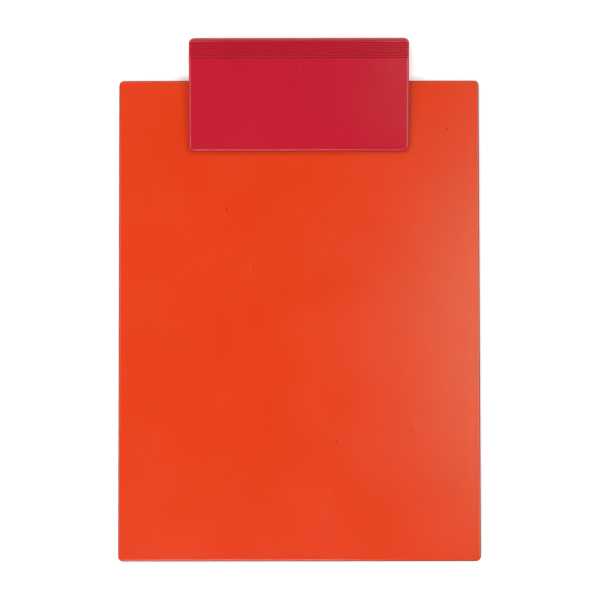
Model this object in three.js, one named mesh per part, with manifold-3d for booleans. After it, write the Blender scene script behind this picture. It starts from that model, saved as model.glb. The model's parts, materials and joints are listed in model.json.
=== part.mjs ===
// A clipboard with a squeeze clip. A thin moulded panel takes an A4 or letter sheet. At its top edge a wide
// clip in two parts overhangs it: a base plate riveted behind the panel, and a lever in front of it that turns
// on a steel pin just past the panel's edge. Two torsion springs on the pin spread the tails, so that the jaw
// bites the panel.
//
// Millimetres. +X runs across the panel, +Y along it towards the clip, +Z out of its front face.
// The origin is under the middle of the whole object, on the plane of the base plate's back.
import * as THREE from "three";
import { mergeVertices } from "three/addons/utils/BufferGeometryUtils.js";
import Module from "manifold-3d";

const wasm = await Module();
wasm.setup();

// ---------------------------------------------------------------- driving dimensions

// Panel
const PANEL_WIDTH = 235;
const PANEL_LENGTH = 313;
const PANEL_THICKNESS = 2.5;
const PANEL_CORNER = 3;
const PANEL_EDGE = 0.5; // round along both faces

// Clip outline, shared by the lever and the base plate
const CLIP_WIDTH = 143;
const CLIP_LENGTH = 73; // from the tails to the jaw's foot
const CLIP_OVERHANG = 26.5; // how far the tails reach past the panel
const CLIP_CORNER = 3.5;
const CLIP_EDGE = 1.2; // round along the outer faces
const CLIP_WALL = 2.4;

// Base plate
const BASE_PLATE = 3; // thickness behind the panel
const TAIL_FLOOR = 2.4; // thickness of its tail
const STOP_WALL = 1.8; // the wall that the panel's edge butts against

// Lever
const LEVER_PLATE = 2.4;
const SKIRT_DEPTH = 4.5; // edge height all round
const JAW_GAP = 0.7; // under the skirt at the jaw, when it is closed

// Grip grooves, on the lever's face and on the base plate's back
const GROOVE_COUNT = 7;
const GROOVE_PITCH = 1.58;
const GROOVE_MOUTH = 0.9;
const GROOVE_FLOOR = 0.4;
const GROOVE_DEPTH = 0.5;
const GROOVE_INSET = 3.2; // first groove from the tail's end

// Hinge
const PIN_RADIUS = 1.5;
const PIN_CLEARANCE = 0.08; // radial, in every ear
const EAR_WALL = 2; // material round the pin
const EAR_MARGIN = 1.4; // between the panel's edge and the nearest ear
const EAR_THICKNESS = 2.4;
const EAR_SIDE_GAP = 0.4; // between neighbouring ears
const EAR_CLEARANCE = 0.5; // between an ear's crown and the part that turns round it
const LOBE_WALL = 2.7; // material round the pin in the lever's side walls
const CAP_RADIUS = 2.6;
const CAP_THICKNESS = 0.9;
const CAP_CLEARANCE = 0.1;

// Torsion springs
const SPRING_SPACING = 68; // between the two coils' middles
const WIRE_RADIUS = 0.6;
const COIL_CLEARANCE = 0.5; // between the coil and the pin
const COIL_TURNS = 4; // whole turns, before the part turn that joins the legs
const COIL_GAP = 0.1; // between turns
const LEG_INSET = 2.6; // leg's end from the tail's end wall
const SPRING_GAP = 0.1; // between a leg and what it bears on
const GUIDE_WIDTH = 1.2;
const GUIDE_HEIGHT = 1.2;
const GUIDE_CLEARANCE = 0.3; // between a leg and the guides on each side of it

// Stiffening ribs in the tails
const RIB_WIDTH = 1.4;
const RIB_HEIGHT = 2;
const RIB_INNER = 12; // from the middle
const RIB_OUTER_INSET = 14; // from the clip's side
const RIB_EAR_GAP = 1.6; // between the ribs and the ears

// Jaw pad
const PAD_END_INSET = 8; // from the clip's side
const PAD_WIDTH = 1.9; // at the lip's mouth
const PAD_FLARE = 0.35; // dovetail, each side
const PAD_SEAT = 1.6; // depth in the lip
const PAD_CLEARANCE = 0.1;
const PAD_WALL = 1.1; // the lip on each side of its mouth

// Rivets
const RIVET_INNER = 20; // from the middle
const RIVET_OUTER_INSET = 12.5; // from the clip's side
const RIVET_SETBACK = 7; // below the panel's top edge
const RIVET_RADIUS = 1.5;
const RIVET_CLEARANCE = 0.2; // radial, in the panel and the plate
const RIVET_HEAD_RADIUS = 3.2;
const RIVET_HEAD_HEIGHT = 1;
const RIVET_HEAD_RIM = 0.25; // straight edge under the head's dome
const RIVET_ROLL_RADIUS = 2.6; // of the rolled tail
const RIVET_ROLL_HEIGHT = 0.8;
const RIVET_BORE_RADIUS = 0.9; // the hollow end that the roll is turned out of
const RIVET_BORE_DEPTH = 1.8;
const WASHER_RADIUS = 3.6;
const WASHER_THICKNESS = 0.5;
const SINK_RADIUS = 4.4; // recess in the plate's back that the washer lies in
const SINK_DEPTH = 1.7;

// Fits
const SEAT_GAP = 0.1; // between faces that bear on each other
const CUT = 5; // how far a cutter reaches past what it cuts

// Facets
const CORNER_SEGMENTS = 3;
const EDGE_SEGMENTS = 3;
const ROUND_SEGMENTS = 24;
const RIVET_SEGMENTS = 16;
const DOME_STEPS = 4;
const ROLL_STEPS = 6;
const WIRE_SEGMENTS = 4;
const WIRE_STEPS = 84;

// ---------------------------------------------------------------- places worked out from them

const TAIL_END = (PANEL_LENGTH + CLIP_OVERHANG) / 2;
const PANEL_TOP = TAIL_END - CLIP_OVERHANG;
const PANEL_BOTTOM = PANEL_TOP - PANEL_LENGTH;
const JAW_END = TAIL_END - CLIP_LENGTH;
const PANEL_BACK = BASE_PLATE + SEAT_GAP;
const PANEL_FRONT = PANEL_BACK + PANEL_THICKNESS;
const WALL_TOP = PANEL_FRONT;

const EAR_RADIUS = PIN_RADIUS + EAR_WALL;
const LOBE_RADIUS = PIN_RADIUS + LOBE_WALL;
const BORE_RADIUS = PIN_RADIUS + PIN_CLEARANCE;
const COIL_RADIUS = PIN_RADIUS + COIL_CLEARANCE + WIRE_RADIUS;
const COIL_PITCH = 2 * WIRE_RADIUS + COIL_GAP;
const COIL_OUTER = COIL_RADIUS + WIRE_RADIUS;
const HINGE_Y = PANEL_TOP + EAR_MARGIN + EAR_RADIUS;
const HINGE_Z = WALL_TOP + EAR_CLEARANCE + Math.max(LOBE_RADIUS, COIL_OUTER);

// The lever is modelled flat and then turned on the pin until its jaw meets the panel. In its own frame the
// pin is the origin, v runs along it to the tail and w out of its face.
const UNDERSIDE = Math.max(EAR_RADIUS, COIL_OUTER) + EAR_CLEARANCE;
const OUTER_FACE = UNDERSIDE + LEVER_PLATE;
const SKIRT_FOOT = OUTER_FACE - SKIRT_DEPTH;
const jawReach = HINGE_Y - JAW_END;
const jawRise = HINGE_Z - PANEL_FRONT - JAW_GAP;
const JAW_ARM = Math.sqrt(jawReach ** 2 + jawRise ** 2 - SKIRT_FOOT ** 2);
const LEVER_ANGLE = Math.atan2(jawRise, jawReach) + Math.atan2(SKIRT_FOOT, JAW_ARM);
const TAIL_ARM = (TAIL_END - HINGE_Y + SKIRT_FOOT * Math.sin(LEVER_ANGLE)) / Math.cos(LEVER_ANGLE);
const JAW_WALL = PAD_WIDTH + 2 * PAD_WALL;

const HALF_CLIP = CLIP_WIDTH / 2;
const SIDE_INNER = HALF_CLIP - CLIP_WALL;
const PAD_HALF = HALF_CLIP - PAD_END_INSET;
const coilHalf = (COIL_TURNS + 0.5) * COIL_PITCH * 0.5;
const earInset = coilHalf + WIRE_RADIUS + EAR_SIDE_GAP;
const SPRING_X = SPRING_SPACING / 2;

// Each ear's inner face, on the +X side; the -X side mirrors it.
const BASE_EARS = [
  SPRING_X - earInset - EAR_THICKNESS,
  SPRING_X + earInset,
  SIDE_INNER - EAR_SIDE_GAP - EAR_THICKNESS,
];
const LEVER_EARS = [SPRING_X + earInset + EAR_THICKNESS + EAR_SIDE_GAP];
const RIB_XS = [RIB_INNER, HALF_CLIP - RIB_OUTER_INSET];
const RIVET_XS = [RIVET_INNER, HALF_CLIP - RIVET_OUTER_INSET];
const RIVET_Y = PANEL_TOP - RIVET_SETBACK;

// ---------------------------------------------------------------- materials

const plastic = (color, roughness) => new THREE.MeshStandardMaterial({ color, roughness, metalness: 0 });
const steel = (color, roughness) => new THREE.MeshStandardMaterial({ color, roughness, metalness: 1 });
const panelOrange = plastic(0xe8431c, 0.35);
const clipCrimson = plastic(0xc42438, 0.45);
const padRubber = plastic(0x3a3436, 0.8);
const springSteel = steel(0xa9abae, 0.35);
const pinSteel = steel(0xc3c5c8, 0.25);
const rivetNickel = steel(0xc9c6be, 0.3);

// ---------------------------------------------------------------- helpers

/** A closed geometry as a solid that can be cut and joined. */
function solid(geometry) {
  const bare = geometry.clone();
  bare.deleteAttribute("normal");
  bare.deleteAttribute("uv");
  const merged = mergeVertices(bare, 1e-4);
  const mesh = new wasm.Mesh({
    numProp: 3,
    vertProperties: new Float32Array(merged.attributes.position.array),
    triVerts: new Uint32Array(merged.index.array),
  });
  return new wasm.Manifold(mesh);
}

/** A solid as a named mesh. */
function piece(name, body, material) {
  const made = body.getMesh();
  const geometry = new THREE.BufferGeometry();
  geometry.setAttribute("position", new THREE.BufferAttribute(made.vertProperties, 3));
  geometry.setIndex(new THREE.BufferAttribute(made.triVerts, 1));
  geometry.computeVertexNormals();
  const mesh = new THREE.Mesh(geometry, material);
  mesh.name = name;
  return mesh;
}

const joined = (solids) => solids.reduce((all, next) => all.add(next));

/** A block between two corners. */
function block([x0, y0, z0], [x1, y1, z1]) {
  const box = new THREE.BoxGeometry(x1 - x0, y1 - y0, z1 - z0);
  box.translate((x0 + x1) / 2, (y0 + y1) / 2, (z0 + z1) / 2);
  return solid(box);
}

/** A rectangle with round corners. */
function roundedRectangle(x0, x1, y0, y1, radius) {
  const shape = new THREE.Shape();
  shape.absarc(x1 - radius, y0 + radius, radius, -Math.PI / 2, 0);
  shape.absarc(x1 - radius, y1 - radius, radius, 0, Math.PI / 2);
  shape.absarc(x0 + radius, y1 - radius, radius, Math.PI / 2, Math.PI);
  shape.absarc(x0 + radius, y0 + radius, radius, Math.PI, (3 * Math.PI) / 2);
  return shape;
}

/** An XY outline pulled from z0 to z1. */
function slab(shape, z0, z1) {
  const options = { depth: z1 - z0, bevelEnabled: false, curveSegments: CORNER_SEGMENTS };
  const pulled = new THREE.ExtrudeGeometry(shape, options);
  return solid(pulled.translate(0, 0, z0));
}

/** A round-cornered slab whose edges along both faces are rounded too. */
function roundedSlab([x0, x1, y0, y1], corner, edge, z0, z1) {
  const shape = roundedRectangle(x0 + edge, x1 - edge, y0 + edge, y1 - edge, corner - edge);
  const pulled = new THREE.ExtrudeGeometry(shape, {
    depth: z1 - z0 - 2 * edge,
    bevelSize: edge,
    bevelThickness: edge,
    bevelSegments: EDGE_SEGMENTS,
    curveSegments: CORNER_SEGMENTS,
  });
  return solid(pulled.translate(0, 0, z0 + edge));
}

/** A YZ outline pulled along X from x0 to x1. */
function prism(shape, x0, x1) {
  const options = { depth: x1 - x0, bevelEnabled: false, curveSegments: ROUND_SEGMENTS / 4 };
  const pulled = new THREE.ExtrudeGeometry(shape, options).translate(0, 0, x0);
  const toYZ = new THREE.Matrix4().set(0, 0, 1, 0, 1, 0, 0, 0, 0, 1, 0, 0, 0, 0, 0, 1);
  return solid(pulled.applyMatrix4(toYZ));
}

/** A closed outline through a list of points. */
const outline = (points) => new THREE.Shape(points.map(([a, b]) => new THREE.Vector2(a, b)));

/** The same prism on both sides of the middle, from inner to outer on +X. */
function mirrored(shape, inner, outer) {
  return prism(shape, inner, outer).add(prism(shape, -outer, -inner));
}

/** A round bar along X, about a point of the YZ plane. */
function bar(radius, x0, x1, y = 0, z = 0) {
  const round = new THREE.CylinderGeometry(radius, radius, x1 - x0, ROUND_SEGMENTS);
  return solid(round.rotateZ(Math.PI / 2).translate((x0 + x1) / 2, y, z));
}

/** A round bar along Z, at a point of the XY plane. */
function post(radius, z0, z1, x, y) {
  const round = new THREE.CylinderGeometry(radius, radius, z1 - z0, ROUND_SEGMENTS);
  return solid(round.rotateX(Math.PI / 2).translate(x, y, (z0 + z1) / 2));
}

/** A hinge ear's side: round about (y, z), with straight flanks to the level root. */
function earOutline(radius, y, z, root) {
  const up = Math.sign(root - z);
  const shape = new THREE.Shape();
  shape.moveTo(y + radius, root);
  shape.lineTo(y + radius, z);
  shape.absarc(y, z, radius, 0, -up * Math.PI, up > 0);
  shape.lineTo(y - radius, root);
  return shape;
}

/** A comb whose teeth are the grip grooves: it cuts a face at height face, counting from end along run. */
function grooveComb(end, face, run, out) {
  const points = [];
  for (let i = 0; i < GROOVE_COUNT; i++) {
    const middle = end + run * (GROOVE_INSET + i * GROOVE_PITCH);
    points.push([middle - (run * GROOVE_MOUTH) / 2, face]);
    points.push([middle - (run * GROOVE_FLOOR) / 2, face - out * GROOVE_DEPTH]);
    points.push([middle + (run * GROOVE_FLOOR) / 2, face - out * GROOVE_DEPTH]);
    points.push([middle + (run * GROOVE_MOUTH) / 2, face]);
  }
  const [first, last] = [points[0][0], points.at(-1)[0]];
  points.push([last, face + out * CUT], [first, face + out * CUT]);
  return prism(outline(points), -HALF_CLIP - CUT, HALF_CLIP + CUT);
}

// ---------------------------------------------------------------- panel

function makePanel() {
  const half = PANEL_WIDTH / 2;
  const sides = [-half, half, PANEL_BOTTOM, PANEL_TOP];
  let panel = roundedSlab(sides, PANEL_CORNER, PANEL_EDGE, PANEL_BACK, PANEL_FRONT);
  for (const x of rivetPlaces()) {
    const hole = post(RIVET_RADIUS + RIVET_CLEARANCE, PANEL_BACK - CUT, PANEL_FRONT + CUT, x, RIVET_Y);
    panel = panel.subtract(hole);
  }
  return piece("board_panel", panel, panelOrange);
}

// ---------------------------------------------------------------- base plate

/** Low walls on a tail's inner face: the stiffening ribs, and the guides beside each spring leg. */
function tailRibs(legX, start, end, root, out) {
  const reach = WIRE_RADIUS + GUIDE_CLEARANCE;
  const walls = RIB_XS.map((x) => [x - RIB_WIDTH / 2, x + RIB_WIDTH / 2, RIB_HEIGHT]);
  walls.push([legX - reach - GUIDE_WIDTH, legX - reach, GUIDE_HEIGHT]);
  walls.push([legX + reach, legX + reach + GUIDE_WIDTH, GUIDE_HEIGHT]);
  const sunk = root - (out * Math.min(TAIL_FLOOR, LEVER_PLATE)) / 2;
  const pair = ([inner, outer, height]) => {
    const low = Math.min(sunk, root + out * height);
    const high = Math.max(sunk, root + out * height);
    const right = block([inner, start, low], [outer, end, high]);
    return right.add(block([-outer, start, low], [-inner, end, high]));
  };
  return joined(walls.map(pair));
}

function makeBase() {
  const sides = [-HALF_CLIP, HALF_CLIP, JAW_END, TAIL_END];
  const tall = roundedSlab(sides, CLIP_CORNER, CLIP_EDGE, 0, WALL_TOP + CUT);
  const step = PANEL_TOP + SEAT_GAP;
  const past = HALF_CLIP + CUT;
  const aboveWalls = block([-past, JAW_END - CUT, WALL_TOP], [past, TAIL_END + CUT, WALL_TOP + 2 * CUT]);
  const panelSeat = block([-past, JAW_END - CUT, BASE_PLATE], [past, step, WALL_TOP + CUT]);
  const pocketStart = step + STOP_WALL;
  const pocketEnd = TAIL_END - CLIP_WALL;
  const pocket = slab(
    roundedRectangle(-SIDE_INNER, SIDE_INNER, pocketStart, pocketEnd, CLIP_CORNER - CLIP_WALL),
    TAIL_FLOOR,
    WALL_TOP + CUT,
  );
  let base = tall.subtract(joined([aboveWalls, panelSeat, pocket]));

  const ear = earOutline(EAR_RADIUS, HINGE_Y, HINGE_Z, TAIL_FLOOR / 2);
  const ears = BASE_EARS.map((x) => mirrored(ear, x, x + EAR_THICKNESS));
  const ribStart = HINGE_Y + EAR_RADIUS + RIB_EAR_GAP;
  base = base.add(joined(ears)).add(tailRibs(SPRING_X - coilHalf, ribStart, pocketEnd, TAIL_FLOOR, 1));
  base = base.subtract(bar(BORE_RADIUS, -HALF_CLIP, HALF_CLIP, HINGE_Y, HINGE_Z));

  for (const x of rivetPlaces()) {
    base = base.subtract(post(RIVET_RADIUS + RIVET_CLEARANCE, -CUT, WALL_TOP, x, RIVET_Y));
    base = base.subtract(post(SINK_RADIUS, -CUT, SINK_DEPTH, x, RIVET_Y));
  }
  base = base.subtract(grooveComb(TAIL_END, 0, -1, -1));
  return piece("clip_base", base, clipCrimson);
}

// ---------------------------------------------------------------- lever, in its own frame

/** The dovetail that holds the pad, wider by clearance on every side. */
function padOutline(clearance, foot) {
  const left = -JAW_ARM + PAD_WALL - clearance;
  const right = -JAW_ARM + PAD_WALL + PAD_WIDTH + clearance;
  const top = SKIRT_FOOT + PAD_SEAT + clearance;
  return outline([
    [left, foot(left)],
    [right, foot(right)],
    [right, SKIRT_FOOT],
    [right + PAD_FLARE, top],
    [left - PAD_FLARE, top],
    [left, SKIRT_FOOT],
  ]);
}

function makeLever() {
  const sides = [-HALF_CLIP, HALF_CLIP, -JAW_ARM, TAIL_ARM];
  const tall = roundedSlab(sides, CLIP_CORNER, CLIP_EDGE, SKIRT_FOOT - CUT, OUTER_FACE);
  const below = block(
    [-HALF_CLIP - CUT, -JAW_ARM - CUT, SKIRT_FOOT - 2 * CUT],
    [HALF_CLIP + CUT, TAIL_ARM + CUT, SKIRT_FOOT],
  );
  const pocketEnd = TAIL_ARM - CLIP_WALL;
  const pocket = slab(
    roundedRectangle(-SIDE_INNER, SIDE_INNER, -JAW_ARM + JAW_WALL, pocketEnd, CLIP_CORNER - CLIP_WALL),
    SKIRT_FOOT - CUT,
    UNDERSIDE,
  );
  let lever = tall.subtract(joined([below, pocket]));

  const overlap = UNDERSIDE + LEVER_PLATE / 2;
  const lobe = earOutline(LOBE_RADIUS, 0, 0, overlap);
  const ear = earOutline(EAR_RADIUS, 0, 0, overlap);
  lever = lever.add(mirrored(lobe, SIDE_INNER, HALF_CLIP));
  lever = lever.add(joined(LEVER_EARS.map((x) => mirrored(ear, x, x + EAR_THICKNESS))));
  lever = lever.add(tailRibs(SPRING_X + coilHalf, EAR_RADIUS + RIB_EAR_GAP, pocketEnd, UNDERSIDE, -1));

  const capSeat = HALF_CLIP - CAP_THICKNESS - CAP_CLEARANCE;
  lever = lever.subtract(bar(BORE_RADIUS, -HALF_CLIP - CUT, HALF_CLIP + CUT));
  lever = lever.subtract(bar(CAP_RADIUS + CAP_CLEARANCE, capSeat, HALF_CLIP + CUT));
  lever = lever.subtract(bar(CAP_RADIUS + CAP_CLEARANCE, -HALF_CLIP - CUT, -capSeat));

  const slotHalf = PAD_HALF + PAD_CLEARANCE;
  const slotOutline = padOutline(PAD_CLEARANCE, () => SKIRT_FOOT - CUT);
  const padSlot = prism(slotOutline, -slotHalf, slotHalf);
  lever = lever.subtract(padSlot).subtract(grooveComb(TAIL_ARM, OUTER_FACE, -1, 1));
  return piece("clip_lever", lever, clipCrimson);
}

function makePad() {
  // The pad's foot lies flat on the panel, so in the lever's frame it slopes by the lever's own angle.
  const level = PANEL_FRONT + SEAT_GAP - HINGE_Z;
  const foot = (v) => (level - v * Math.sin(LEVER_ANGLE)) / Math.cos(LEVER_ANGLE);
  return piece("jaw_pad", prism(padOutline(0, foot), -PAD_HALF, PAD_HALF), padRubber);
}

// ---------------------------------------------------------------- pin and its caps, in the lever's frame

function makePin() {
  const end = HALF_CLIP - CAP_THICKNESS - 2 * CAP_CLEARANCE;
  return piece("hinge_pin", bar(PIN_RADIUS, -end, end), pinSteel);
}

function makeCap(side) {
  const end = side * HALF_CLIP;
  const inner = side * (HALF_CLIP - CAP_THICKNESS);
  const cap = bar(CAP_RADIUS, Math.min(end, inner), Math.max(end, inner));
  return piece(side < 0 ? "pin_cap_left" : "pin_cap_right", cap, clipCrimson);
}

// ---------------------------------------------------------------- torsion springs

/** Where a leg that ends at point leaves the coil. The upper leg's side is 1 and the lower leg's is -1. */
function tangentLeg(point, side) {
  const length = Math.sqrt(point.lengthSq() - COIL_RADIUS ** 2);
  const heading = point.angle() - side * Math.atan2(COIL_RADIUS, length);
  return { length, leaves: heading + (side * Math.PI) / 2 };
}

/** The wire's middle line: in along the lower leg, round the pin, and out along the upper leg. */
class WirePath extends THREE.Curve {
  constructor(hand) {
    super();
    this.hand = hand;
    const along = TAIL_END - CLIP_WALL - LEG_INSET - HINGE_Y;
    this.lowEnd = new THREE.Vector2(along, TAIL_FLOOR + WIRE_RADIUS + SPRING_GAP - HINGE_Z);
    this.highEnd = new THREE.Vector2(TAIL_ARM - CLIP_WALL - LEG_INSET, UNDERSIDE - WIRE_RADIUS - SPRING_GAP);
    this.highEnd.rotateAround(new THREE.Vector2(), LEVER_ANGLE);
    this.low = tangentLeg(this.lowEnd, -1);
    this.high = tangentLeg(this.highEnd, 1);
    const fullTurn = 2 * Math.PI;
    const partTurn = (((this.low.leaves - this.high.leaves) % fullTurn) + fullTurn) % fullTurn;
    this.wrap = partTurn + COIL_TURNS * fullTurn;
    this.coil = this.wrap * COIL_RADIUS;
    this.total = this.low.length + this.coil + this.high.length;
  }

  getPoint(t) {
    const at = t * this.total - this.low.length;
    const share = Math.min(Math.max(at / this.coil, 0), 1);
    const angle = this.low.leaves - share * this.wrap;
    const round = new THREE.Vector2(Math.cos(angle), Math.sin(angle)).multiplyScalar(COIL_RADIUS);
    if (at < 0) round.lerp(this.lowEnd, -at / this.low.length);
    if (at > this.coil) round.lerp(this.highEnd, (at - this.coil) / this.high.length);
    const x = SPRING_X + (2 * share - 1) * coilHalf;
    return new THREE.Vector3(this.hand * x, HINGE_Y + round.x, HINGE_Z + round.y);
  }
}

function makeSpring(side) {
  const section = new THREE.Shape();
  section.absarc(0, 0, WIRE_RADIUS, 0, 2 * Math.PI);
  const wire = new THREE.ExtrudeGeometry(section, {
    steps: WIRE_STEPS,
    curveSegments: WIRE_SEGMENTS,
    extrudePath: new WirePath(side),
  });
  return piece(side < 0 ? "spring_left" : "spring_right", solid(wire), springSteel);
}

// ---------------------------------------------------------------- rivets and washers

/** Every rivet's X, from left to right. */
function rivetPlaces() {
  return [...RIVET_XS.map((x) => -x), ...RIVET_XS].sort((a, b) => a - b);
}

/** A turned solid about the Z axis through (x, y), from a profile of [radius, z] points. */
function turned(points, x, y) {
  const profile = points.map(([radius, z]) => new THREE.Vector2(radius, z));
  const lathe = new THREE.LatheGeometry(profile, RIVET_SEGMENTS);
  return solid(lathe.rotateX(Math.PI / 2).translate(x, y, 0));
}

/** Points along an ellipse centred on [radius, z], from one angle to another in equal steps. */
function arcPoints([radius, z], across, up, from, to, steps) {
  const angles = Array.from({ length: steps + 1 }, (_, i) => from + ((to - from) * i) / steps);
  return angles.map((angle) => [radius + across * Math.cos(angle), z + up * Math.sin(angle)]);
}

function makeRivet(x, number) {
  const headFoot = PANEL_FRONT + SEAT_GAP;
  const domeFoot = headFoot + RIVET_HEAD_RIM;
  const domeRise = RIVET_HEAD_HEIGHT - RIVET_HEAD_RIM;
  const rollRoot = SINK_DEPTH - WASHER_THICKNESS - 2 * SEAT_GAP;
  const rollMiddle = (RIVET_ROLL_RADIUS + RIVET_BORE_RADIUS) / 2;
  const rollHalf = (RIVET_ROLL_RADIUS - RIVET_BORE_RADIUS) / 2;
  const roll = arcPoints([rollMiddle, rollRoot], rollHalf, RIVET_ROLL_HEIGHT, -Math.PI, 0, ROLL_STEPS);
  const dome = arcPoints([0, domeFoot], RIVET_HEAD_RADIUS, domeRise, 0, Math.PI / 2, DOME_STEPS);
  const boreTop = rollRoot + RIVET_BORE_DEPTH;
  const shank = [
    [RIVET_RADIUS, rollRoot],
    [RIVET_RADIUS, headFoot],
    [RIVET_HEAD_RADIUS, headFoot],
  ];
  const profile = [[0, boreTop], [RIVET_BORE_RADIUS, boreTop], ...roll, ...shank, ...dome.slice(0, -1)];
  profile.push([0, domeFoot + domeRise]);
  return piece(`rivet_${number}`, turned(profile, x, RIVET_Y), rivetNickel);
}

function makeWasher(x, number) {
  const top = SINK_DEPTH - SEAT_GAP;
  const hole = RIVET_RADIUS + RIVET_CLEARANCE;
  const bottom = top - WASHER_THICKNESS;
  const profile = [
    [hole, top],
    [hole, bottom],
    [WASHER_RADIUS, bottom],
    [WASHER_RADIUS, top],
    [hole, top],
  ];
  return piece(`washer_${number}`, turned(profile, x, RIVET_Y), rivetNickel);
}

// ---------------------------------------------------------------- assembly

const lever = new THREE.Group();
lever.position.set(0, HINGE_Y, HINGE_Z);
lever.rotation.x = LEVER_ANGLE;
lever.add(makeLever(), makePad(), makePin(), makeCap(-1), makeCap(1));

const clipboard = new THREE.Group();
clipboard.add(makePanel(), makeBase(), lever);
clipboard.add(makeSpring(-1), makeSpring(1));
rivetPlaces().forEach((x, i) => clipboard.add(makeRivet(x, i + 1), makeWasher(x, i + 1)));

export default clipboard;
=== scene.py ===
"""A clipboard with a squeeze clip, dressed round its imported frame.

An orange moulded panel carries the sheets. A crimson clip in two parts overhangs its top edge: a base plate
riveted behind the panel, and a lever in front of it that turns on a steel pin against two torsion springs.

Sub-assemblies are classes whose fields are their sizes, in millimetres. They work in the frame's own axes,
or in the lever's own frame for what turns with it. Every mesh is in metres by the time it is placed.
"""

import json
import logging
import math
from collections.abc import Callable, Mapping, Sequence
from dataclasses import dataclass, field
from enum import Enum
from typing import Any, ClassVar

import bmesh
import bpy
from mathutils import Matrix, Vector


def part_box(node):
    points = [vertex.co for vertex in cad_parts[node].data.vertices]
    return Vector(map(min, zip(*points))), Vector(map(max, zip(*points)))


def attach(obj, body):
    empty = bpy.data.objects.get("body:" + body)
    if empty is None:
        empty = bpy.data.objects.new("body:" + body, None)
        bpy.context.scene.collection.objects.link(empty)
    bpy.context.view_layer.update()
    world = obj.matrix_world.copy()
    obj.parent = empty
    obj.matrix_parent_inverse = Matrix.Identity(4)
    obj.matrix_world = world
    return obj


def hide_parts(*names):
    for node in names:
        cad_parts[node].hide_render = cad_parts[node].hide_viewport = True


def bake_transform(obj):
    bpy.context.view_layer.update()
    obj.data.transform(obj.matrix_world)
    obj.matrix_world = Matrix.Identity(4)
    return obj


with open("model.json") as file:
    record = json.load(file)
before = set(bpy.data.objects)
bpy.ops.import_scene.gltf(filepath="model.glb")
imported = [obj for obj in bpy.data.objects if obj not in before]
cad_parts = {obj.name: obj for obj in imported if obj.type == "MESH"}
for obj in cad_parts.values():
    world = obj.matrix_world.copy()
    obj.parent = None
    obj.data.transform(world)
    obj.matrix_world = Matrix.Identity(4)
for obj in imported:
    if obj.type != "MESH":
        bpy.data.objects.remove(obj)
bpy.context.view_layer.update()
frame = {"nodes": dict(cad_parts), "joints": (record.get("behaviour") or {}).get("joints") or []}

LOG = logging.getLogger("clipboard")
# Metres: a millimetre, how near points are before they are one, and how short an edge is before it goes.
MM = 0.001
WELD = 1e-7
SLIVER = 1e-6
# Millimetres: how far a cutter reaches past what it cuts.
PAST = 5.0
# A block's corner radius over the radius of its edges.
BLOCK_CORNER = 1.2

NOISE_ROUGHNESS = 0.55

Pair = tuple[float, float]
Triple = tuple[float, float, float]
Colour = Triple
Mesh = bpy.types.Mesh
Material = bpy.types.Material
Node = bpy.types.Node
Socket = bpy.types.NodeSocket
EdgeRound = Callable[[Vector], float]


class Body(Enum):
    """The frame's rigid bodies."""

    BOARD = "board"
    LEVER = "lever"


class Slot(Enum):
    """The record's material slots."""

    PANEL = "panel"
    CLIP = "clip"
    PAD = "pad"
    PIN = "pin"
    SPRING = "spring"
    RIVET = "rivet"


class Joining(Enum):
    """What one solid does to another."""

    ADD = "UNION"
    CUT = "DIFFERENCE"


class Plane(Enum):
    """Where an outline is drawn and which way it is pulled; the value turns it there."""

    ACROSS = Matrix(((1, 0, 0, 0), (0, 1, 0, 0), (0, 0, 1, 0), (0, 0, 0, 1)))
    SIDEWAYS = Matrix(((0, 0, 1, 0), (1, 0, 0, 0), (0, 1, 0, 0), (0, 0, 0, 1)))


# -------- solids


@dataclass(frozen=True)
class Outline:
    """A convex outline with round corners: its points in order, each with the direction out of it."""

    points: tuple[Vector, ...]
    outward: tuple[Vector, ...]

    @classmethod
    def rounded(cls, low: Pair, high: Pair, radii: Sequence[float], steps: int) -> "Outline":
        """Draws a rectangle with round corners.

        Args:
            low: The rectangle's lowest corner.
            high: Its highest corner.
            radii: The radius of the corners at low-low, high-low, high-high and low-high.
            steps: How many edges each corner has.

        Returns:
            The outline, running anticlockwise.
        """
        corners = ((low[0], low[1], 2), (high[0], low[1], 3), (high[0], high[1], 0), (low[0], high[1], 1))
        points, outward = [], []
        for (x, y, quarter), radius in zip(corners, radii, strict=True):
            inward = Vector((-math.copysign(radius, x - (low[0] + high[0]) / 2), 0))
            inward.y = -math.copysign(radius, y - (low[1] + high[1]) / 2)
            for step in range(steps + 1):
                angle = (quarter + step / steps) * math.pi / 2
                direction = Vector((math.cos(angle), math.sin(angle)))
                points.append(Vector((x, y)) + inward + direction * radius)
                outward.append(direction)
        return cls(tuple(points), tuple(outward))

    @classmethod
    def circle(cls, centre: Pair, radius: float, steps: int = 48) -> "Outline":
        """Draws a circle of that many edges.

        Args:
            centre: Its centre.
            radius: Its radius.
            steps: How many edges it has.

        Returns:
            The outline, running anticlockwise.
        """
        turn = [2 * math.pi * i / steps for i in range(steps)]
        outward = tuple(Vector((math.cos(angle), math.sin(angle))) for angle in turn)
        return cls(tuple(Vector(centre) + d * radius for d in outward), outward)


def plain_round(radius: float) -> EdgeRound:
    """An edge that is rounded by the same radius all along."""
    return lambda outward: radius


def freed(bm: bmesh.types.BMesh) -> Mesh:
    """What was built, as a mesh.

    Args:
        bm: What was built; it is freed.

    Returns:
        The mesh.
    """
    mesh = bpy.data.meshes.new("solid")
    bm.to_mesh(mesh)
    bm.free()
    return mesh


def closed(bm: bmesh.types.BMesh) -> Mesh:
    """What was built, as a mesh that is welded and has its faces pointing out.

    Args:
        bm: What was built; it is freed.

    Returns:
        The closed mesh.
    """
    bmesh.ops.remove_doubles(bm, verts=bm.verts, dist=WELD)
    bmesh.ops.dissolve_degenerate(bm, edges=bm.edges, dist=WELD)
    bmesh.ops.recalc_face_normals(bm, faces=bm.faces)
    return freed(bm)


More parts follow.
